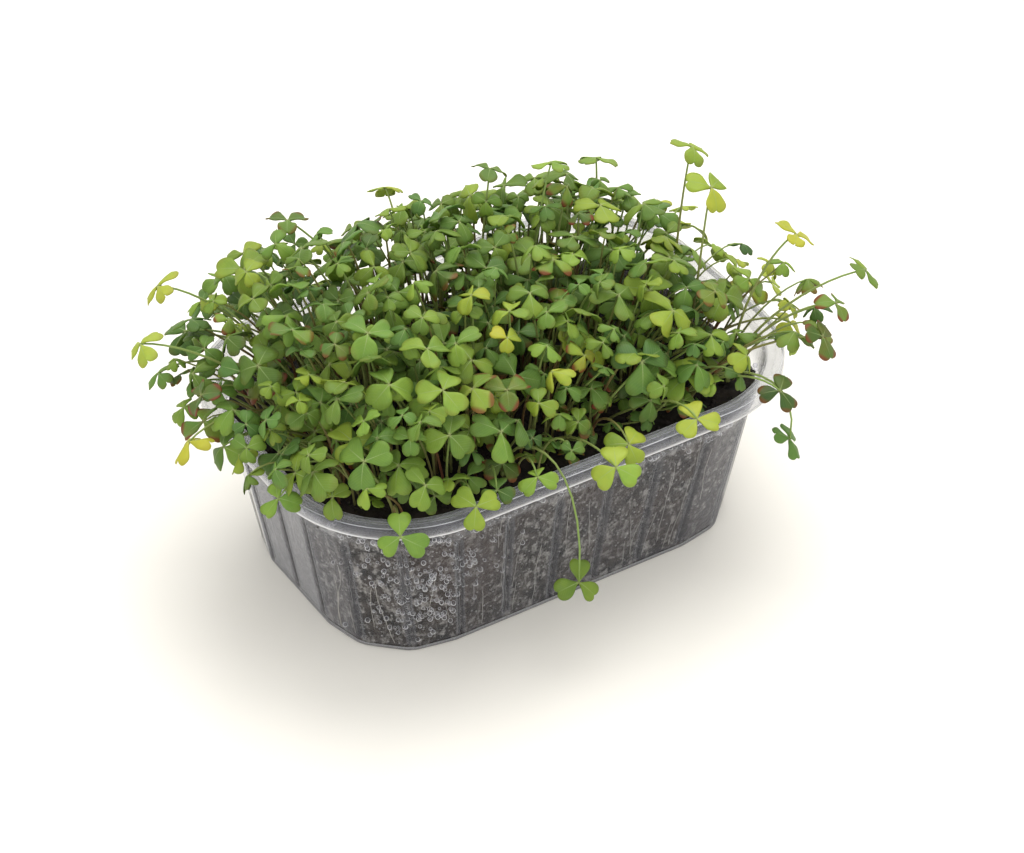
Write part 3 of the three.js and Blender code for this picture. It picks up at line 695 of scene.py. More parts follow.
def drop_places():
    lot = random.Random(DROP_SEED)
    places = []
    for index in range(DROP_COUNT):
        if index % EDGE_DROPS[1] < EDGE_DROPS[0]:
            share = lot.random()
            z = soil_edge(*wall_place(share, SOIL_LEVEL, SHEET)[:2]) + lot.gauss(*DROP_LINE)
        else:
            patch = WET_PATCHES[lot.randrange(len(WET_PATCHES))]
            share = patch[0] + lot.gauss(0, PATCH_SPREAD[0])
            z = patch[1] + lot.gauss(0, PATCH_SPREAD[1] * patch[2])
        if DROP_HEIGHTS[0] < z < DROP_HEIGHTS[1]:
            places.append(wall_place(share, z, SHEET + (0.0 if z > COLLAR_FOOT else LEDGE)))
    return places


def make_drops():
    water = Finish("water_drop")
    place = water.object_place()
    facing = water.node("ShaderNodeLayerWeight", {"Blend": 0.5}, output="Facing")
    glint = water.noise(place, 900.0)
    # Each bead turns near white and opaque towards its rim and stays clear face on: the bright ring is
    # a painted highlight.
    bead = water.node("ShaderNodeBsdfPrincipled", {
        "Base Color": water.mix(glint, (0.93, 0.94, 0.96), (1.0, 1.0, 1.0)), "Roughness": 0.04,
        "Specular IOR Level": 1.0})
    clear = water.node("ShaderNodeBsdfTransparent", {"Color": (0.98, 0.98, 1.0)})
    material = water.close(water.node("ShaderNodeMixShader", {
        0: water.between(facing, 0.35, 0.70, 0.03, 0.97), 1: clear, 2: bead}))
    points = drop_places()
    mesh = bpy.data.meshes.new("drop_places")
    mesh.from_pydata([tuple(value * MM for value in point) for point in points], [], [])
    holder = place_object("drop_places", mesh)
    sizes = {"Drop Size": DROP_SIZE, "Seed": DROP_SCALE_SEED}
    tree = node_tree("wall_drops", sizes)
    new = tree.nodes.new
    entry, leave = new("NodeGroupInput"), new("NodeGroupOutput")
    bead_shape, place_on = new("GeometryNodeMeshIcoSphere"), new("GeometryNodeInstanceOnPoints")
    bead_shape.inputs["Subdivisions"].default_value = 2
    size = new("FunctionNodeRandomValue")
    size.inputs[2].default_value, size.inputs[3].default_value = DROP_SCALES
    real, finish = new("GeometryNodeRealizeInstances"), new("GeometryNodeSetMaterial")
    finish.inputs["Material"].default_value = material
    join_nodes(tree, [
        (entry, "Geometry", place_on, "Points"), (entry, "Drop Size", bead_shape, "Radius"),
        (entry, "Seed", size, "Seed"), (bead_shape, "Mesh", place_on, "Instance"),
        (place_on, "Instances", real, "Geometry"),
        (real, "Geometry", finish, "Geometry"), (finish, "Geometry", leave, "Geometry")])
    tree.links.new(size.outputs[1], place_on.inputs["Scale"])
    drops = place_object("water_drops", grown_mesh(holder, tree, sizes))
    bpy.data.objects.remove(holder)
    drops.data.polygons.foreach_set("use_smooth", [True] * len(drops.data.polygons))
    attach(drops, "root")


make_drops()


# The seedlings. Each grew from one seed: a crown in the compost, and thin leaf stems that each
# carry one soft leaf of three notched leaflets. The rule that places them is the one that the
# frame's plants were grown by, so that each finer plant stands exactly where its node does.
SEED = 2718
DRAW_STEP = 48271
DRAW_RANGE = 2147483647
ROOT_COLUMNS = 8
ROOT_ROWS = 5
ROOT_SPACING = [16.4, 17.6]
ROOT_JITTER = 2.4
ROOT_MARGIN = 6
ROOT_STAGGER = 0.25
ROOT_RETREAT = 0.97
CROWN_RADIUS = 0.9
CROWN_HEIGHT = 2.0
LEAF_COUNT = 115
MOST_LEAVES = 5
CROWDING = 60
CANOPY_HALF = [92, 65]
CANOPY_MIDDLE = [-2, 3]
CANOPY_CORNER = 60
CANOPY_TOP = 95
CANOPY_DROP = 28
CANOPY_TILT = [-0.12, 0.1]
CANOPY_DEPTH = 34
CORE_HALF = [41, 17]
RIM_REACH = 41
ROOT_PULL = [0.78, 0.72]
STEP_X = 0.7548776662466927
STEP_Y = 0.5698402909980532
PLACES_PER_LEAF = 4
TRIES = 14
TRY_SHIFT = 0.4
TRY_LIFT = 0.5
TRY_SHRINK = 0.012
LEAFLET = [7.2, 9.8]
SIDE_WIDTH = 0.53
LEAFLETS = 3
DROOP = [0.05, 0.5]
LEAN_OUT = 0.4
LEAN_X = [-0.6, 0.6]
LEAN_Y = [-0.65, 0.4]
FOLD = [-0.45, 0.4]
STEM_BOW = 3
STEM_FOOT = 0.12
STEM_RISE = 0.6
STEM_HEAD = 0.3
PLAIN_ARCH = -9
OUTER_ARCH = 5
EDGE_BELT = 10
OVER_RIM = 5
ARCH_BELOW = 12
HANGING_ARCH = 10
HANGING_SLACK = -0.35
STEM_ENTRY = -0.3
STEM_SLACK = 1.3
STEM_TIP = 2
SAMPLE_STEP = 1.1
SAMPLE_SIDES = 3
LEAFLET_FLARE = 0.8
STEM_ROOM = 0.8
BLADE_ROOM = 1.1
CELL = 2.2
CROWN_FREE = 9
RIM_ROOM = 1.8
WALL_ROOM = 1
SOIL_ROOM = 3
LONG_LEAVES = [
    ([-13, -66, 27], 54, 7.4), ([62, -63, 45], 31, 7), ([-66, -58, 61], 6, 8.4),
    ([-84, 46, 89], -2, 7.6), ([-98, 30, 84], -1, 7.8), ([-98, 3, 67], 4, 7.8),
    ([-88, 14, 72], 4, 7), ([-82, 27, 66], 3, 6.6), ([-74, -36, 65], 4, 7.2),
    ([34, 22, 103], -9, 7.2), ([18, 30, 102], -9, 6.4), ([70, 2, 107], -6, 7),
    ([66, -14, 103], -6, 8.2), ([80, -37, 95], -2, 7.2), ([96, -50, 84], -1, 6.6),
    ([82, -56, 81], -1, 6.8), ([73, -61, 76], -1, 7.4), ([55, -66, 67], 4, 7.8),
    ([-37, 54, 90], -4, 7), ([-54, 50, 87], -4, 6.8), ([2, 64, 82], -2, 6.8),
    ([66, 46, 80], -4, 7.2), ([-43, -60, 63], 4, 7.8), ([-1, -66, 63], 4, 8),
    ([29, -62, 65], 4, 7.8),
]


class Draw:
    """The seeded draws, one after another."""

    def __init__(self, seed):
        self.state = seed

    def __call__(self, low, high):
        self.state = self.state * DRAW_STEP % DRAW_RANGE
        return low + (high - low) * self.state / DRAW_RANGE


def plant_roots(draw):
    half, corner = wall_outline(SOIL_LEVEL, CAD_SHEET + GROOVE_DEPTH + CAD_SOIL_GAP)
    roots = []
    for row in range(ROOT_ROWS):
        for column in range(ROOT_COLUMNS):
            stagger = ROOT_STAGGER if row % 2 == 0 else -ROOT_STAGGER
            x = (column + 0.5 + stagger - ROOT_COLUMNS / 2) * ROOT_SPACING[0]
            y = (row + 0.5 - ROOT_ROWS / 2) * ROOT_SPACING[1]
            x += draw(-ROOT_JITTER, ROOT_JITTER)
            y += draw(-ROOT_JITTER, ROOT_JITTER)
            while outside_by([x, y], half, corner) > -ROOT_MARGIN:
                x *= ROOT_RETREAT
                y *= ROOT_RETREAT
            roots.append([x, y])
    return roots


def canopy_top(x, y):
    reach = outside_by([x, y], CORE_HALF, 0) / RIM_REACH
    return CANOPY_TOP - CANOPY_DROP * reach * reach + CANOPY_TILT[0] * x + CANOPY_TILT[1] * y


def stem_curve(root, leaf):
    start = [root[0], root[1], soil_top(root[0], root[1]) + CROWN_HEIGHT / 2]
    run = [leaf["at"][axis] - start[axis] for axis in range(3)]
    rise = run[2] + leaf["arch"]
    foot = [start[axis] + STEM_FOOT * run[axis] + leaf["bow"][axis] for axis in range(2)]
    head = [leaf["at"][axis] - STEM_HEAD * run[axis] * leaf["slack"] for axis in range(2)]
    return [start, [*foot, start[2] + STEM_RISE * rise], [*head, start[2] + rise], leaf["at"]]


def curve_point(curve, t):
    """A point of a stem, at a share t of the way from its foot to its leaf."""
    s = 1 - t
    weights = [s * s * s, 3 * s * s * t, 3 * s * t * t, t * t * t]
    return [sum(weight * point[axis] for weight, point in zip(weights, curve)) for axis in range(3)]


def leaf_axes(leaf):
    """The directions up from a leaf, ahead along its first leaflet, and across."""
    length = math.sqrt(leaf["lean"][0] ** 2 + leaf["lean"][1] ** 2 + 1)
    up = [leaf["lean"][0] / length, leaf["lean"][1] / length, 1 / length]
    dot = leaf["heading"][0] * up[0] + leaf["heading"][1] * up[1]
    flat = [leaf["heading"][0] - dot * up[0], leaf["heading"][1] - dot * up[1], -dot * up[2]]
    size = math.sqrt(flat[0] ** 2 + flat[1] ** 2 + flat[2] ** 2)
    ahead = [value / size for value in flat]
    across = [up[1] * ahead[2] - up[2] * ahead[1], up[2] * ahead[0] - up[0] * ahead[2],
              up[0] * ahead[1] - up[1] * ahead[0]]
    return up, ahead, across


def leaflet_point(leaf, axes, index, along, aside):
    """A point of a leaflet, from its length along the rib and its width to one side."""
    up, ahead, across = axes
    turn = index * 2 * math.pi / LEAFLETS
    droop = leaf["droop"][index]
    level = along * math.cos(droop)
    drop = along * math.sin(droop) * along / leaf["leaflet"]
    lift = abs(aside) * math.sin(leaf["fold"]) - drop
    side = aside * math.cos(leaf["fold"])
    forward = level * math.cos(turn) - side * math.sin(turn)
    sideways = level * math.sin(turn) + side * math.cos(turn)
    return [leaf["at"][axis] + forward * ahead[axis] + sideways * across[axis] + lift * up[axis]
            for axis in range(3)]


def stem_samples(curve):
    span = math.sqrt(sum((curve[3][axis] - curve[0][axis]) ** 2 for axis in range(3)))
    count = math.ceil(STEM_SLACK * span / SAMPLE_STEP)
    return [curve_point(curve, index / count) for index in range(count + 1)]


def blade_samples(leaf):
    axes = leaf_axes(leaf)
    samples = []
    for index in range(LEAFLETS):
        along = SAMPLE_STEP
        while along <= leaf["leaflet"]:
            half_width = min(along * LEAFLET_FLARE, leaf["leaflet"] * SIDE_WIDTH)
            for side in range(-SAMPLE_SIDES, SAMPLE_SIDES + 1):
                aside = side * half_width / SAMPLE_SIDES
                samples.append(leaflet_point(leaf, axes, index, along, aside))
            along += SAMPLE_STEP
    return samples


class FilledSpace:
    """The space that stems and blades take up, kept in small cubes."""

    def __init__(self):
        self.cubes = {}

    def cube(self, point):
        return tuple(math.floor(value / CELL) for value in point)

    def fill(self, samples, room, plant):
        """Fill round each point, in its own cube and in the cubes that touch it."""
        for point in samples:
            cx, cy, cz = self.cube(point)
            taken = (*point, room, plant)
            for dx in (-1, 0, 1):
                for dy in (-1, 0, 1):
                    for dz in (-1, 0, 1):
                        self.cubes.setdefault((cx + dx, cy + dy, cz + dz), []).append(taken)

    def has_room(self, samples, room, plant):
        for point in samples:
            x, y, z = point
            at_crown = z < SOIL_LEVEL + CROWN_FREE
            for ox, oy, oz, other_room, other_plant in self.cubes.get(self.cube(point), ()):
                near = room + other_room
                apart = (x - ox) ** 2 + (y - oy) ** 2 + (z - oz) ** 2
                if apart < near * near and not (at_crown and other_plant == plant):
                    return False
        return True


def clear_of_tray(samples, least):
    """Whether all the points lie over the rim, outside it, or inside the wall over the compost."""
    for point in samples:
        if point[2] > RIM_TOP + RIM_ROOM:
            continue
        outside = outside_by(point, RIM_HALF, RIM_CORNER)
        inside = -outside - FLANGE_WIDTH - WALL_ROOM
        if not (outside > RIM_ROOM or (inside > RIM_ROOM and point[2] > SOIL_LEVEL + least)):
            return False
    return True


def enters_well(leaf, curve):
    """A stem reaches its blade from below or from the side, unless it hangs over the rim."""
    up = leaf_axes(leaf)[0]
    end = [curve[3][axis] - curve[2][axis] for axis in range(3)]
    length = math.sqrt(end[0] ** 2 + end[1] ** 2 + end[2] ** 2)
    rise = end[0] * up[0] + end[1] * up[1] + end[2] * up[2]
    return leaf["arch"] > HANGING_ARCH or rise > STEM_ENTRY * length


class Canopy:
    """All the leaves of the seedlings, grown one by one where each has room."""

    def __init__(self, seed):
        self.draw = Draw(seed)
        self.roots = plant_roots(self.draw)
        self.leaves = [[] for _ in self.roots]
        self.space = FilledSpace()

    def nearest_root(self, x, y):
        best, shortest = -1, math.inf
        for index, root in enumerate(self.roots):
            away = (root[0] - x * ROOT_PULL[0]) ** 2 + (root[1] - y * ROOT_PULL[1]) ** 2
            reach = away + CROWDING * len(self.leaves[index])
            if len(self.leaves[index]) < MOST_LEAVES and reach < shortest:
                best, shortest = index, reach
        return best

    def drawn_leaf(self, at, arch, leaflet, attempt):
        draw = self.draw
        shift = attempt * TRY_SHIFT
        place = [at[0] + draw(-shift, shift), at[1] + draw(-shift, shift),
                 at[2] + draw(-shift, shift) * TRY_LIFT]
        return {
            "at": place,
            "arch": arch,
            "leaflet": leaflet * (1 - TRY_SHRINK * attempt),
            "slack": HANGING_SLACK if arch > HANGING_ARCH else 1,
            "bow": [draw(-STEM_BOW, STEM_BOW), draw(-STEM_BOW, STEM_BOW)],
            "lean": [LEAN_OUT * place[0] / RIM_HALF[0] + draw(*LEAN_X),
                     LEAN_OUT * place[1] / RIM_HALF[1] + draw(*LEAN_Y)],
            "heading": [place[0] / RIM_HALF[0] + draw(-1, 1), place[1] / RIM_HALF[1] + draw(-1, 1)],
            "droop": [draw(*DROOP), draw(*DROOP), draw(*DROOP)],
            "fold": draw(*FOLD),
        }

    def grow_leaf(self, at, arch, leaflet):
        plant = self.nearest_root(at[0], at[1])
        if plant < 0:
            return False
        for attempt in range(TRIES):
            leaf = self.drawn_leaf(at, arch, leaflet, attempt)
            curve = stem_curve(self.roots[plant], leaf)
            stem = stem_samples(curve)
            blade = blade_samples(leaf)
            bare = stem[:-STEM_TIP]
            if (enters_well(leaf, curve) and clear_of_tray(stem, 0)
                    and clear_of_tray(blade, SOIL_ROOM)
                    and self.space.has_room(bare, STEM_ROOM, plant)
                    and self.space.has_room(blade, BLADE_ROOM, plant)):
                self.space.fill(bare, STEM_ROOM, plant)
                self.space.fill(blade, BLADE_ROOM, plant)
                self.leaves[plant].append(leaf)
                return True
        return False

    def spread(self, count):
        """Leaves all over the canopy, evenly scattered, until there are as many as asked for."""
        grown, step = 0, 1
        while grown < count and step < 1 + PLACES_PER_LEAF * LEAF_COUNT:
            x = (2 * ((step * STEP_X) % 1) - 1) * CANOPY_HALF[0]
            y = (2 * ((step * STEP_Y) % 1) - 1) * CANOPY_HALF[1]
            depth = self.draw(0, 1)
            if outside_by([x, y], CANOPY_HALF, CANOPY_CORNER) < 0:
                x, y = x + CANOPY_MIDDLE[0], y + CANOPY_MIDDLE[1]
                outer = outside_by([x, y], RIM_HALF, RIM_CORNER) > -EDGE_BELT
                z = max(canopy_top(x, y) - CANOPY_DEPTH * depth * depth, RIM_TOP + OVER_RIM)
                arch = OUTER_ARCH if outer and z < RIM_TOP + ARCH_BELOW else PLAIN_ARCH
                grown += self.grow_leaf([x, y, z], arch, self.draw(*LEAFLET))
            step += 1


canopy = Canopy(SEED)
long_grown = sum(canopy.grow_leaf(at, arch, leaflet) for at, arch, leaflet in LONG_LEAVES)
canopy.spread(LEAF_COUNT - long_grown)


# Each leaflet is a closed thin blade, meshed from its rib out to its notched edge. Stems are
# thin tapering rods. A plant's tone, red blush and height up the stem go with its points.
BLADE_THICKNESS = 0.3
RIPPLE = 0.035
RIPPLE_WAVES = 9
RIPPLE_SHIFT = 2.1
CUP = 0.05
NOTCH_SHARPNESS = 6
LEAFLET_EDGE = [(0.02, 0.040), (0.14, 0.125), (0.30, 0.28), (0.46, 0.42), (0.62, 0.51), (0.77, 0.52),
                (0.89, 0.45), (0.96, 0.34), (0.985, 0.20), (0.96, 0.09), (0.92, 0.03)]
RIB_END = 0.90
STEM_WIDTH = [0.46, 0.27]
STEM_RINGS = 12
STEM_SIDES = 6
CROWN_SIDES = 7
CROWN_RINGS = 4
CROWN_DEPTHS = [5, 3]
CROWN_TAPER = 0.7
CROWN_LOOK = {"tones": [0.4], "warmth": 0.5, "stem_blush": 0.8}
AHEAD = 0.02


class Shape:
    """A leaflet's grid: places along and aside in leaflet lengths, and its closed faces."""

    def __init__(self, edge, across):
        rows = len(edge)
        columns = 2 * across + 1
        self.along, self.aside, self.edge_share = [], [], []
        for row, (reach, width) in enumerate(edge):
            rib = RIB_END * row / (rows - 1)
            for column in range(-across, across + 1):
                share = abs(column) / across
                self.along.append(rib + (reach - rib) * share)
                self.aside.append(math.copysign(width * share, column))
                self.edge_share.append(share)
        self.along, self.aside = np.array(self.along), np.array(self.aside)
        self.edge_share = np.array(self.edge_share)
        self.count = rows * columns
        faces = []
        for row in range(rows - 1):
            for column in range(columns - 1):
                one = row * columns + column
                faces.append((one, one + 1, one + 1 + columns, one + columns)[::-1])
        border = ([column for column in range(columns)]
                  + [row * columns + columns - 1 for row in range(1, rows)]
                  + [(rows - 1) * columns + column for column in range(columns - 2, -1, -1)]
                  + [row * columns for row in range(rows - 2, 0, -1)])
        below = [tuple(point + self.count for point in reversed(face)) for face in faces]
        walls = []
        for index, point in enumerate(border):
            after = border[(index + 1) % len(border)]
            walls.append((point, after, after + self.count, point + self.count))
        self.faces = faces + below + walls


def finer(edge, steps):
    """The same edge with more points on it, on a smooth line through the given ones."""
    line = []
    last = len(edge) - 1
    for step in range(steps + 1):
        t = step * last / steps
        index = min(int(t), last - 1)
        f = t - index
        before, one, two, after = (edge[max(index - 1, 0)], edge[index], edge[index + 1],
                                   edge[min(index + 2, last)])
        line.append(tuple(0.5 * (2 * one[a] + f * (two[a] - before[a])
                                 + f * f * (2 * before[a] - 5 * one[a] + 4 * two[a] - after[a])
                                 + f ** 3 * (3 * one[a] - before[a] - 3 * two[a] + after[a]))
                          for a in range(2)))
    return line


FINE_LEAFLET = Shape(finer(LEAFLET_EDGE, 15), 3)
LIGHT_LEAFLET = Shape(finer(LEAFLET_EDGE, 8), 2)


def leaflet_surface(leaf, axes, index, along, aside, relief):
    """Many points of a leaflet at once, as leaflet_point places one, with some relief on it."""
    up, ahead, across = (np.array(axis) for axis in axes)
    turn, droop = index * 2 * math.pi / LEAFLETS, leaf["droop"][index]
    drop = along * math.sin(droop) * along / leaf["leaflet"]
    lift = np.abs(aside) * math.sin(leaf["fold"]) - drop + relief
    side, level = aside * math.cos(leaf["fold"]), along * math.cos(droop)
    forward = level * math.cos(turn) - side * math.sin(turn)
    sideways = level * math.sin(turn) + side * math.cos(turn)
    return (np.array(leaf["at"]) + forward[:, None] * ahead + sideways[:, None] * across
            + lift[:, None] * up)


class Greenery:
    """Points, faces and point values of one piece of greenery."""

    def __init__(self):
        self.points, self.faces, self.uvs = [], [], []
        self.tones, self.warmths, self.blushes, self.stems = [], [], [], []
        self.total = 0

    def add(self, points, faces, uvs, tone, warmth, blush, stem):
        self.points.append(points)
        self.faces += [tuple(index + self.total for index in face) for face in faces]
        self.uvs.append(uvs)
        count = len(points)
        self.tones.append(np.full(count, tone))
        self.warmths.append(np.full(count, warmth))
        self.blushes.append(np.full(count, blush))
        self.stems.append(stem)
        self.total += count

    def add_leaf(self, leaf, shape, look):
        axes = leaf_axes(leaf)
        for index in range(LEAFLETS):
            size = leaf["leaflet"] * look["sizes"][index]
            wave = shape.along * RIPPLE_WAVES + look["wave"] + index * RIPPLE_SHIFT
            ripple = RIPPLE * size * shape.edge_share * np.sin(wave)
            cup = -CUP * size * (shape.edge_share ** 2)
            filled = 1 + look["notch"] * (1 - shape.edge_share) * shape.along ** NOTCH_SHARPNESS
            along, aside = shape.along * filled * size, shape.aside * look["slim"] * size
            top = leaflet_surface(leaf, axes, index, along, aside, ripple + cup)
            points = np.vstack([top, top - BLADE_THICKNESS * np.array(axes[0])]) * MM
            uv = np.column_stack([shape.along, 0.5 + shape.aside])
            self.add(points, shape.faces, np.vstack([uv, uv]), look["tones"][index],
                     look["warmth"], look["blush"], np.zeros(len(points)))

    def add_stem(self, curve, sides, rings, look, widths=STEM_WIDTH):
        points, faces, height = [], [], []
        side = Vector(curve[3]) - Vector(curve[0])
        side = Vector((-side.y, side.x, 0.0)) if side.xy.length > 0.5 else Vector((1, 0, 0))
        side.normalize()
        for ring in range(rings + 1):
            t = ring / rings
            centre = Vector(curve_point(curve, t))
            before, after = max(t - AHEAD, 0), min(t + AHEAD, 1)
            ahead = Vector(curve_point(curve, after)) - Vector(curve_point(curve, before))
            ahead.normalize()
            third = ahead.cross(side).normalized()
            second = third.cross(ahead).normalized()
            width = widths[0] + (widths[1] - widths[0]) * t
            for corner in range(sides):
                angle = corner * 2 * math.pi / sides
                points.append(centre + width * (math.cos(angle) * second + math.sin(angle) * third))
                height.append(t)
        for ring in range(rings):
            for corner in range(sides):
                after = (corner + 1) % sides
                low, high = ring * sides, (ring + 1) * sides
                faces.append((low + corner, low + after, high + after, high + corner))
        faces.append(tuple(reversed(range(sides))))
        faces.append(tuple(range(rings * sides, (rings + 1) * sides)))
        uvs = np.column_stack([np.array(height), np.full(len(points), 0.5)])
        self.add(np.array([tuple(point) for point in points]) * MM, faces, uvs, look["tones"][0],
                 look["warmth"], look["stem_blush"], np.ones(len(points)))

    def piece(self, name, material, slot):
        mesh = bpy.data.meshes.new(name)
        mesh.from_pydata(np.vstack(self.points).tolist(), [], self.faces)
        mesh.polygons.foreach_set("use_smooth", [True] * len(mesh.polygons))
        uv_of_point = np.vstack(self.uvs)
        corners = np.empty(len(mesh.loops), dtype=np.int32)
        mesh.loops.foreach_get("vertex_index", corners)
        layer = mesh.uv_layers.new(name="leaflet")
        layer.data.foreach_set("uv", uv_of_point[corners].ravel())
        for label, values in (("tone", self.tones), ("warmth", self.warmths),
                              ("blush", self.blushes), ("stem", self.stems)):
            held = mesh.attributes.new(label, "FLOAT", "POINT")
            held.data.foreach_set("value", np.concatenate(values))
        mesh.materials.append(material)
        mesh.update()
        made = place_object(name, mesh)
        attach(made, "root")
        return made


def greenery_finish():
    """Soft matt leaf and stem: tone from leaf to leaf, pale rib and veins, red stems and edges."""
    green = Finish("greenery")
    place = green.object_place()
    uv = green.node("ShaderNodeUVMap", uv_map="leaflet")
    along = green.node("ShaderNodeSeparateXYZ", {"Vector": uv}, output="X")
    aside = green.node("ShaderNodeMath", {0: green.node("ShaderNodeSeparateXYZ", {"Vector": uv},
                                                         output="Y") - 0.5}, operation="ABSOLUTE")
    # The tone holds each leaf's own green together with its painted light and shade, brighter at the
    # front and the top.
    tone = green.node("ShaderNodeAttribute", attribute_name="tone", output="Fac")
    blush = green.node("ShaderNodeAttribute", attribute_name="blush", output="Fac")
    stem = green.node("ShaderNodeAttribute", attribute_name="stem", output="Fac")
    mottle = green.noise(place, 900.0, 3.0)
    broad = green.noise(place, 160.0, 2.0)
    shade = tone + (broad - 0.5) * 0.22 + (mottle - 0.5) * 0.10
    blade = green.node("ShaderNodeValToRGB", {"Fac": shade}, output="Color", stops=[
        (0.0, (0.026, 0.064, 0.016)), (0.20, (0.060, 0.138, 0.034)), (0.40, (0.108, 0.228, 0.052)),
        (0.60, (0.185, 0.330, 0.060)), (0.80, (0.310, 0.465, 0.072)), (0.96, (0.450, 0.530, 0.080))])
    warmth = green.node("ShaderNodeAttribute", attribute_name="warmth", output="Fac")
    warm = green.mix(warmth, (0.94, 1.0, 0.80), (1.22, 1.0, 0.52))
    blade = green.mix(1.0, blade, warm, "MULTIPLY")
    vein_place = green.node("ShaderNodeMath", {0: (along - aside * 0.75) * 62.0}, operation="SINE")
    veins = green.between(vein_place, 0.86, 1.0, 0.0, 0.16)
    rib = green.between(aside, 0.006, 0.024, 0.75, 0.0) * green.between(along, 0.3, 0.85, 1.0, 0.15)
    lined = green.mix(rib + veins, blade, (0.36, 0.48, 0.17))
    hub = green.between(along, 0.02, 0.13, 0.55, 0.0)
    based = green.mix(hub, lined, (0.50, 0.50, 0.24))
    edge = green.between(along * 0.9 + aside * 0.75, 0.86, 1.12, 0.0, 1.0)
    reddened = green.mix(blush * green.between(edge + broad * 0.7, 0.25, 1.0), based,
                         (0.24, 0.058, 0.022))
    pale_stem = green.mix(green.between(along, 0.1, 0.9), (0.30, 0.33, 0.11), (0.28, 0.42, 0.10))
    red_stem = green.mix(blush * green.between(along, 0.1, 1.0, 1.0, 0.25), pale_stem,
                         (0.23, 0.075, 0.045))
    colour = green.mix(stem, reddened, red_stem)
    relief = mottle * 0.4 + veins * 2.0 - rib * 0.8
    skin = green.node("ShaderNodeBsdfPrincipled", {
        "Base Color": colour, "Roughness": green.between(mottle, 0.3, 0.7, 0.42, 0.6),
        "Specular IOR Level": 0.38, "Normal": green.bump(relief, 0.35, 0.00025)})
    through = green.node("ShaderNodeBsdfTranslucent", {"Color": colour})
    return green.close(green.node("ShaderNodeMixShader", {0: 0.28, 1: skin, 2: through}))


TONE = 0.47
FRONT_LIGHT_TONE = 0.03
HEIGHT_LIGHT_TONE = 0.30
TONE_LEVEL = 0.8
TONE_SPREAD = 0.11
TONE_LIMITS = [0.05, 0.96]
LOWEST_SHARE = 0.55
PLAIN_SHARE = 0.91
BRIGHT_TONES = [0.62, 0.80]
RED_SHARE = 0.07
RED_SHARE_LOW = 0.3
LOW_LEAF = 0.6
RED_BLUSH = [0.5, 1.0]
PLAIN_BLUSH = [0, 0.18]


def leaf_look(lot, leaf):
    """How one leaf looks: brighter towards the front and the top as painted light, darker low down as
    painted shade, now and then yellow or red.
    """
    top = canopy_top(leaf["at"][0], leaf["at"][1])
    height = max((leaf["at"][2] - SOIL_LEVEL) / (top - SOIL_LEVEL), LOWEST_SHARE)
    front = -leaf["at"][1] / RIM_HALF[1]
    # Leaves further to the front and higher up get a brighter tone and lower ones a darker one: painted
    # light and shade on top of their own spread of tone.
    tone = TONE + FRONT_LIGHT_TONE * front + HEIGHT_LIGHT_TONE * (height - TONE_LEVEL) + lot.gauss(0, TONE_SPREAD)
    odd = lot.random()
    if odd > PLAIN_SHARE:
        tone = lot.uniform(*BRIGHT_TONES)
    tone = min(max(tone, TONE_LIMITS[0]), TONE_LIMITS[1])
    red = odd < RED_SHARE or (height < LOW_LEAF and odd < RED_SHARE_LOW)
    blush = lot.uniform(*RED_BLUSH) if red else lot.uniform(*PLAIN_BLUSH)
    return {
        "tones": [tone + lot.gauss(0, 0.05) for _ in range(LEAFLETS)],
        "sizes": [lot.uniform(0.82, 1.0) for _ in range(LEAFLETS)],
        "warmth": lot.random(),
        "notch": lot.uniform(0.0, 0.1),
        "slim": lot.uniform(0.82, 1.0),
        "wave": lot.uniform(0, 6.3),
        "blush": blush,
        "stem_blush": lot.uniform(0.0, 0.35) if lot.random() < 0.7 else lot.uniform(0.5, 1.0),
    }


def hub_curve(root, leaf):
    """A stem's curve, ended inside its blade."""
    curve = [list(point) for point in stem_curve(root, leaf)]
    up = leaf_axes(leaf)[0]
    curve[3] = [curve[3][axis] - 0.5 * BLADE_THICKNESS * up[axis] for axis in range(3)]
    return curve


def make_plants():
    material = greenery_finish()
    lot = random.Random(SEED)
    slots = {row["node"]: row["material_slot"] for row in frame["record"]["subparts"]}
    for index, (root, leaves) in enumerate(zip(canopy.roots, canopy.leaves)):
        node = f"plant_{index + 1:02d}"
        plant = Greenery()
        level = soil_top(*root)
        heights = [level - CROWN_DEPTHS[0], level - CROWN_DEPTHS[1], level, level + CROWN_HEIGHT]
        plant.add_stem([[*root, z] for z in heights], CROWN_SIDES, CROWN_RINGS, CROWN_LOOK,
                       [CROWN_RADIUS, CROWN_TAPER * CROWN_RADIUS])
        for leaf in leaves:
            look = leaf_look(lot, leaf)
            plant.add_stem(hub_curve(root, leaf), STEM_SIDES, STEM_RINGS, look)
            plant.add_leaf(leaf, FINE_LEAFLET, look)
        made = plant.piece(f"seedling_{index + 1:02d}", material, slots[node])
        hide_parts(node)
    return material


greenery = make_plants()


# The smaller seedlings between them. The same kind of leaf, a little smaller and lower, each on
# a stem of its own from the compost, grown into what room is left, so that the canopy closes.
SMALL_SEED = 909
SMALL_STEPS = 5200
SMALL_TRIES = 7
SMALL_LEAFLET = [5.0, 9.2]
SMALL_SHRINK = 0.3
SMALL_DEPTH = 44
SMALL_LOWEST = SOIL_LEVEL + 7
SMALL_LEAN = 0.75
SMALL_DROOP = [0.0, 0.9]
SMALL_FOLD = [-0.6, 0.5]
SMALL_SHIFT = 0.5
SMALL_TIP = 3
SMALL_SIDES = 4
SMALL_RINGS = 8
SMALL_GROUPS = 6
GROUP_REACH = 1.2
BARE_FRONT = 0.85
FRONT_TO = -34
BARE_BACK = 0.62
BACK_FROM = 24
BACK_TO = 60
CORNER_STEPS = 190
CORNER_X = [24, 88]
CORNER_Y = [-54, -12]
CORNER_HIGH = 77
BASE_MARGIN = 5
BASE_JITTER = 5
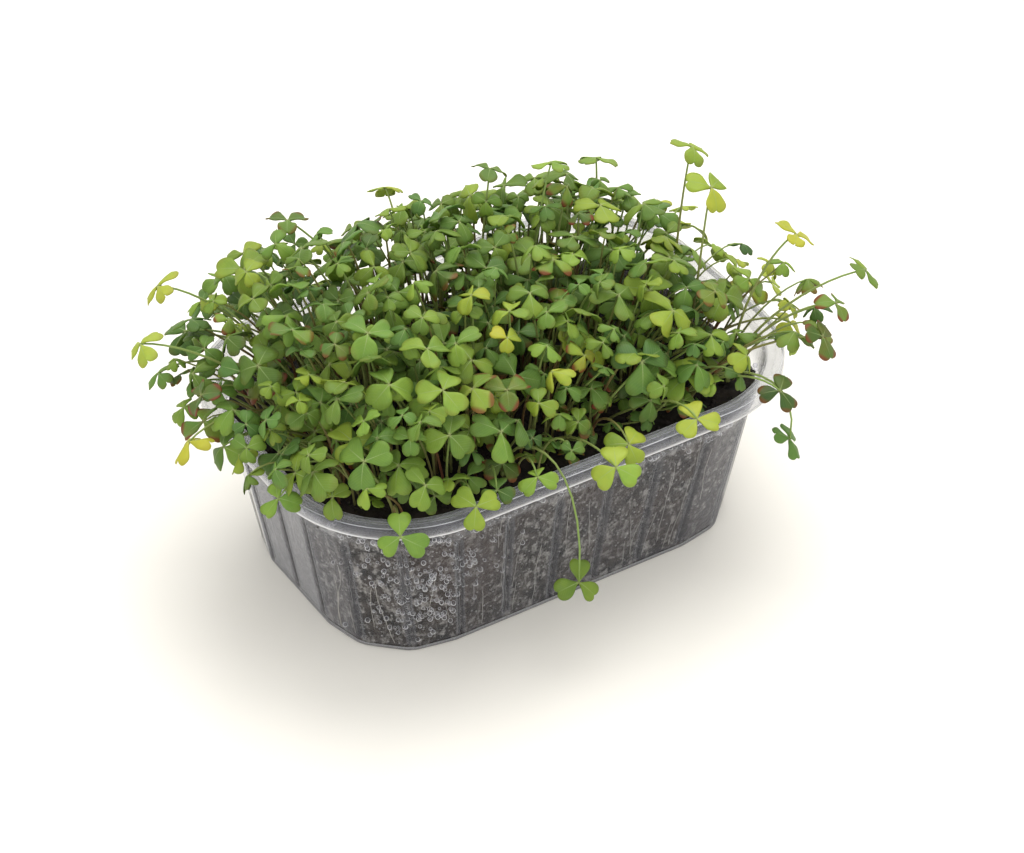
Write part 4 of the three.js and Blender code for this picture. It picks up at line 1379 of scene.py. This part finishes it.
VOXEL = 0.6
SPACE_LOW = np.array([-125.0, -90.0, 40.0])
SPACE_SIZE = np.array([250.0, 190.0, 90.0])
CURVE_TIMES = np.linspace(0.0, 1.0, 70)[:, None]
BLADE_ALONG = np.linspace(0.15, 1.0, 8)
BLADE_ASIDE = np.linspace(-1, 1, 7)


class Voxels:
    """The space over the compost in small cubes, each full or free."""

    def __init__(self):
        self.full = np.zeros(tuple((SPACE_SIZE / VOXEL).astype(int)), dtype=bool)

    def cells(self, points):
        return ((points - SPACE_LOW) / VOXEL).astype(int)

    def is_free(self, points):
        return not self.full[tuple(self.cells(points).T)].any()

    def fill(self, points):
        self.full[tuple(self.cells(points).T)] = True


def curve_points(curve):
    t, s = CURVE_TIMES, 1 - CURVE_TIMES
    one, two, three, four = (np.array(point) for point in curve)
    return s ** 3 * one + 3 * s * s * t * two + 3 * s * t * t * three + t ** 3 * four


def blade_points(leaf):
    """Points spread over a leaf's three leaflets."""
    axes, size = leaf_axes(leaf), leaf["leaflet"]
    along, share = np.meshgrid(BLADE_ALONG, BLADE_ASIDE)
    along, aside = along.ravel() * size, (share * np.minimum(along, SIDE_WIDTH)).ravel() * size
    return np.vstack([leaflet_surface(leaf, axes, index, along, aside, 0 * along)
                      for index in range(LEAFLETS)])


def free_of_tray(points, least):
    """The same test as clear_of_tray, for many points at once."""
    low = points[points[:, 2] < RIM_TOP + RIM_ROOM]
    over_x = np.maximum(np.abs(low[:, 0]) - (RIM_HALF[0] - RIM_CORNER), 0)
    over_y = np.maximum(np.abs(low[:, 1]) - (RIM_HALF[1] - RIM_CORNER), 0)
    outside = np.hypot(over_x, over_y) - RIM_CORNER
    inside = -outside - FLANGE_WIDTH - WALL_ROOM
    over_soil = low[:, 2] > SOIL_LEVEL + least
    return bool(np.all((outside > RIM_ROOM) | ((inside > RIM_ROOM) & over_soil)))


def small_base(lot, x, y):
    """Where a small seedling stands: under its leaf, or nearer to the middle, within the wall."""
    half, corner = wall_outline(SOIL_LEVEL, CAD_SHEET + GROOVE_DEPTH + CAD_SOIL_GAP)
    place = [x * ROOT_PULL[0] + lot.uniform(-BASE_JITTER, BASE_JITTER),
             y * ROOT_PULL[1] + lot.uniform(-BASE_JITTER, BASE_JITTER)]
    while outside_by(place, half, corner) > -BASE_MARGIN:
        place = [ROOT_RETREAT * place[0], ROOT_RETREAT * place[1]]
    return place


def small_leaf(lot, place, outer, attempt, share):
    shift = SMALL_SHIFT * attempt
    at = [place[0] + lot.uniform(-shift, shift), place[1] + lot.uniform(-shift, shift),
          place[2] + lot.uniform(-shift, shift)]
    return {
        "at": at,
        "arch": OUTER_ARCH if outer and at[2] < RIM_TOP + ARCH_BELOW else lot.uniform(PLAIN_ARCH, 0),
        "leaflet": lot.uniform(*SMALL_LEAFLET) * (1 - SMALL_SHRINK * share),
        "slack": 1,
        "bow": [lot.uniform(-STEM_BOW, STEM_BOW), lot.uniform(-STEM_BOW, STEM_BOW)],
        "lean": [LEAN_OUT * at[0] / RIM_HALF[0] + lot.uniform(-SMALL_LEAN, SMALL_LEAN),
                 LEAN_OUT * at[1] / RIM_HALF[1] + lot.uniform(-SMALL_LEAN, SMALL_LEAN)],
        "heading": [at[0] / RIM_HALF[0] + lot.uniform(-1, 1), at[1] / RIM_HALF[1] + lot.uniform(-1, 1)],
        "droop": [lot.uniform(*SMALL_DROOP) for _ in range(LEAFLETS)],
        "fold": lot.uniform(*SMALL_FOLD),
    }


def small_places(lot):
    """Where small leaves may stand: all over the canopy, then more at its front right corner."""
    for step in range(SMALL_STEPS):
        x = (2 * (((step + 0.5) * STEP_X) % 1) - 1) * CANOPY_HALF[0]
        y = (2 * (((step + 0.5) * STEP_Y) % 1) - 1) * CANOPY_HALF[1]
        if outside_by([x, y], CANOPY_HALF, CANOPY_CORNER) > 0:
            continue
        x, y = x + CANOPY_MIDDLE[0], y + CANOPY_MIDDLE[1]
        outer = outside_by([x, y], RIM_HALF, RIM_CORNER) > -EDGE_BELT
        back = y > BACK_FROM and x < BACK_TO
        if lot.random() < (BARE_FRONT if outer and y < FRONT_TO else BARE_BACK if back else 0):
            continue
        least = RIM_TOP + OVER_RIM if outer else SMALL_LOWEST
        z = max(canopy_top(x, y) - SMALL_DEPTH * lot.random() ** 2, least)
        yield [x, y, z], outer, step / SMALL_STEPS
    for step in range(CORNER_STEPS):
        x, y = lot.uniform(*CORNER_X), lot.uniform(*CORNER_Y)
        outer = outside_by([x, y], RIM_HALF, RIM_CORNER) > -EDGE_BELT
        z = lot.uniform(RIM_TOP + OVER_RIM if outer else SMALL_LOWEST, CORNER_HIGH)
        yield [x, y, z], outer, step / CORNER_STEPS


def small_leaves():
    """Small leaves with the places that their stems stand in, where each has room."""
    space = Voxels()
    for root, leaves in zip(canopy.roots, canopy.leaves):
        for leaf in leaves:
            space.fill(curve_points(stem_curve(root, leaf)))
            space.fill(blade_points(leaf))
    lot = random.Random(SMALL_SEED)
    grown = []
    for place, outer, share in small_places(lot):
        for attempt in range(SMALL_TRIES):
            leaf = small_leaf(lot, place, outer, attempt, share)
            base = small_base(lot, place[0], place[1])
            curve = stem_curve(base, leaf)
            stem, blade = curve_points(curve), blade_points(leaf)
            bare = stem[:-SMALL_TIP]
            if (enters_well(leaf, curve) and free_of_tray(stem, 0)
                    and free_of_tray(blade, SOIL_ROOM)
                    and space.is_free(blade) and space.is_free(bare)):
                space.fill(blade)
                space.fill(bare)
                grown.append((base, leaf))
                break
    return grown


def make_small_leaves():
    lot = random.Random(SMALL_SEED)
    groups = [Greenery() for _ in range(SMALL_GROUPS)]
    for base, leaf in small_leaves():
        look = leaf_look(lot, leaf)
        share = (leaf["at"][0] / CANOPY_HALF[0] + GROUP_REACH) / (2 * GROUP_REACH)
        group = groups[min(max(int(share * SMALL_GROUPS), 0), SMALL_GROUPS - 1)]
        group.add_stem(hub_curve(base, leaf), SMALL_SIDES, SMALL_RINGS, look)
        group.add_leaf(leaf, LIGHT_LEAFLET, look)
    for index, group in enumerate(groups):
        group.piece(f"small_seedlings_{index + 1}", greenery, "leaf_mid")


make_small_leaves()
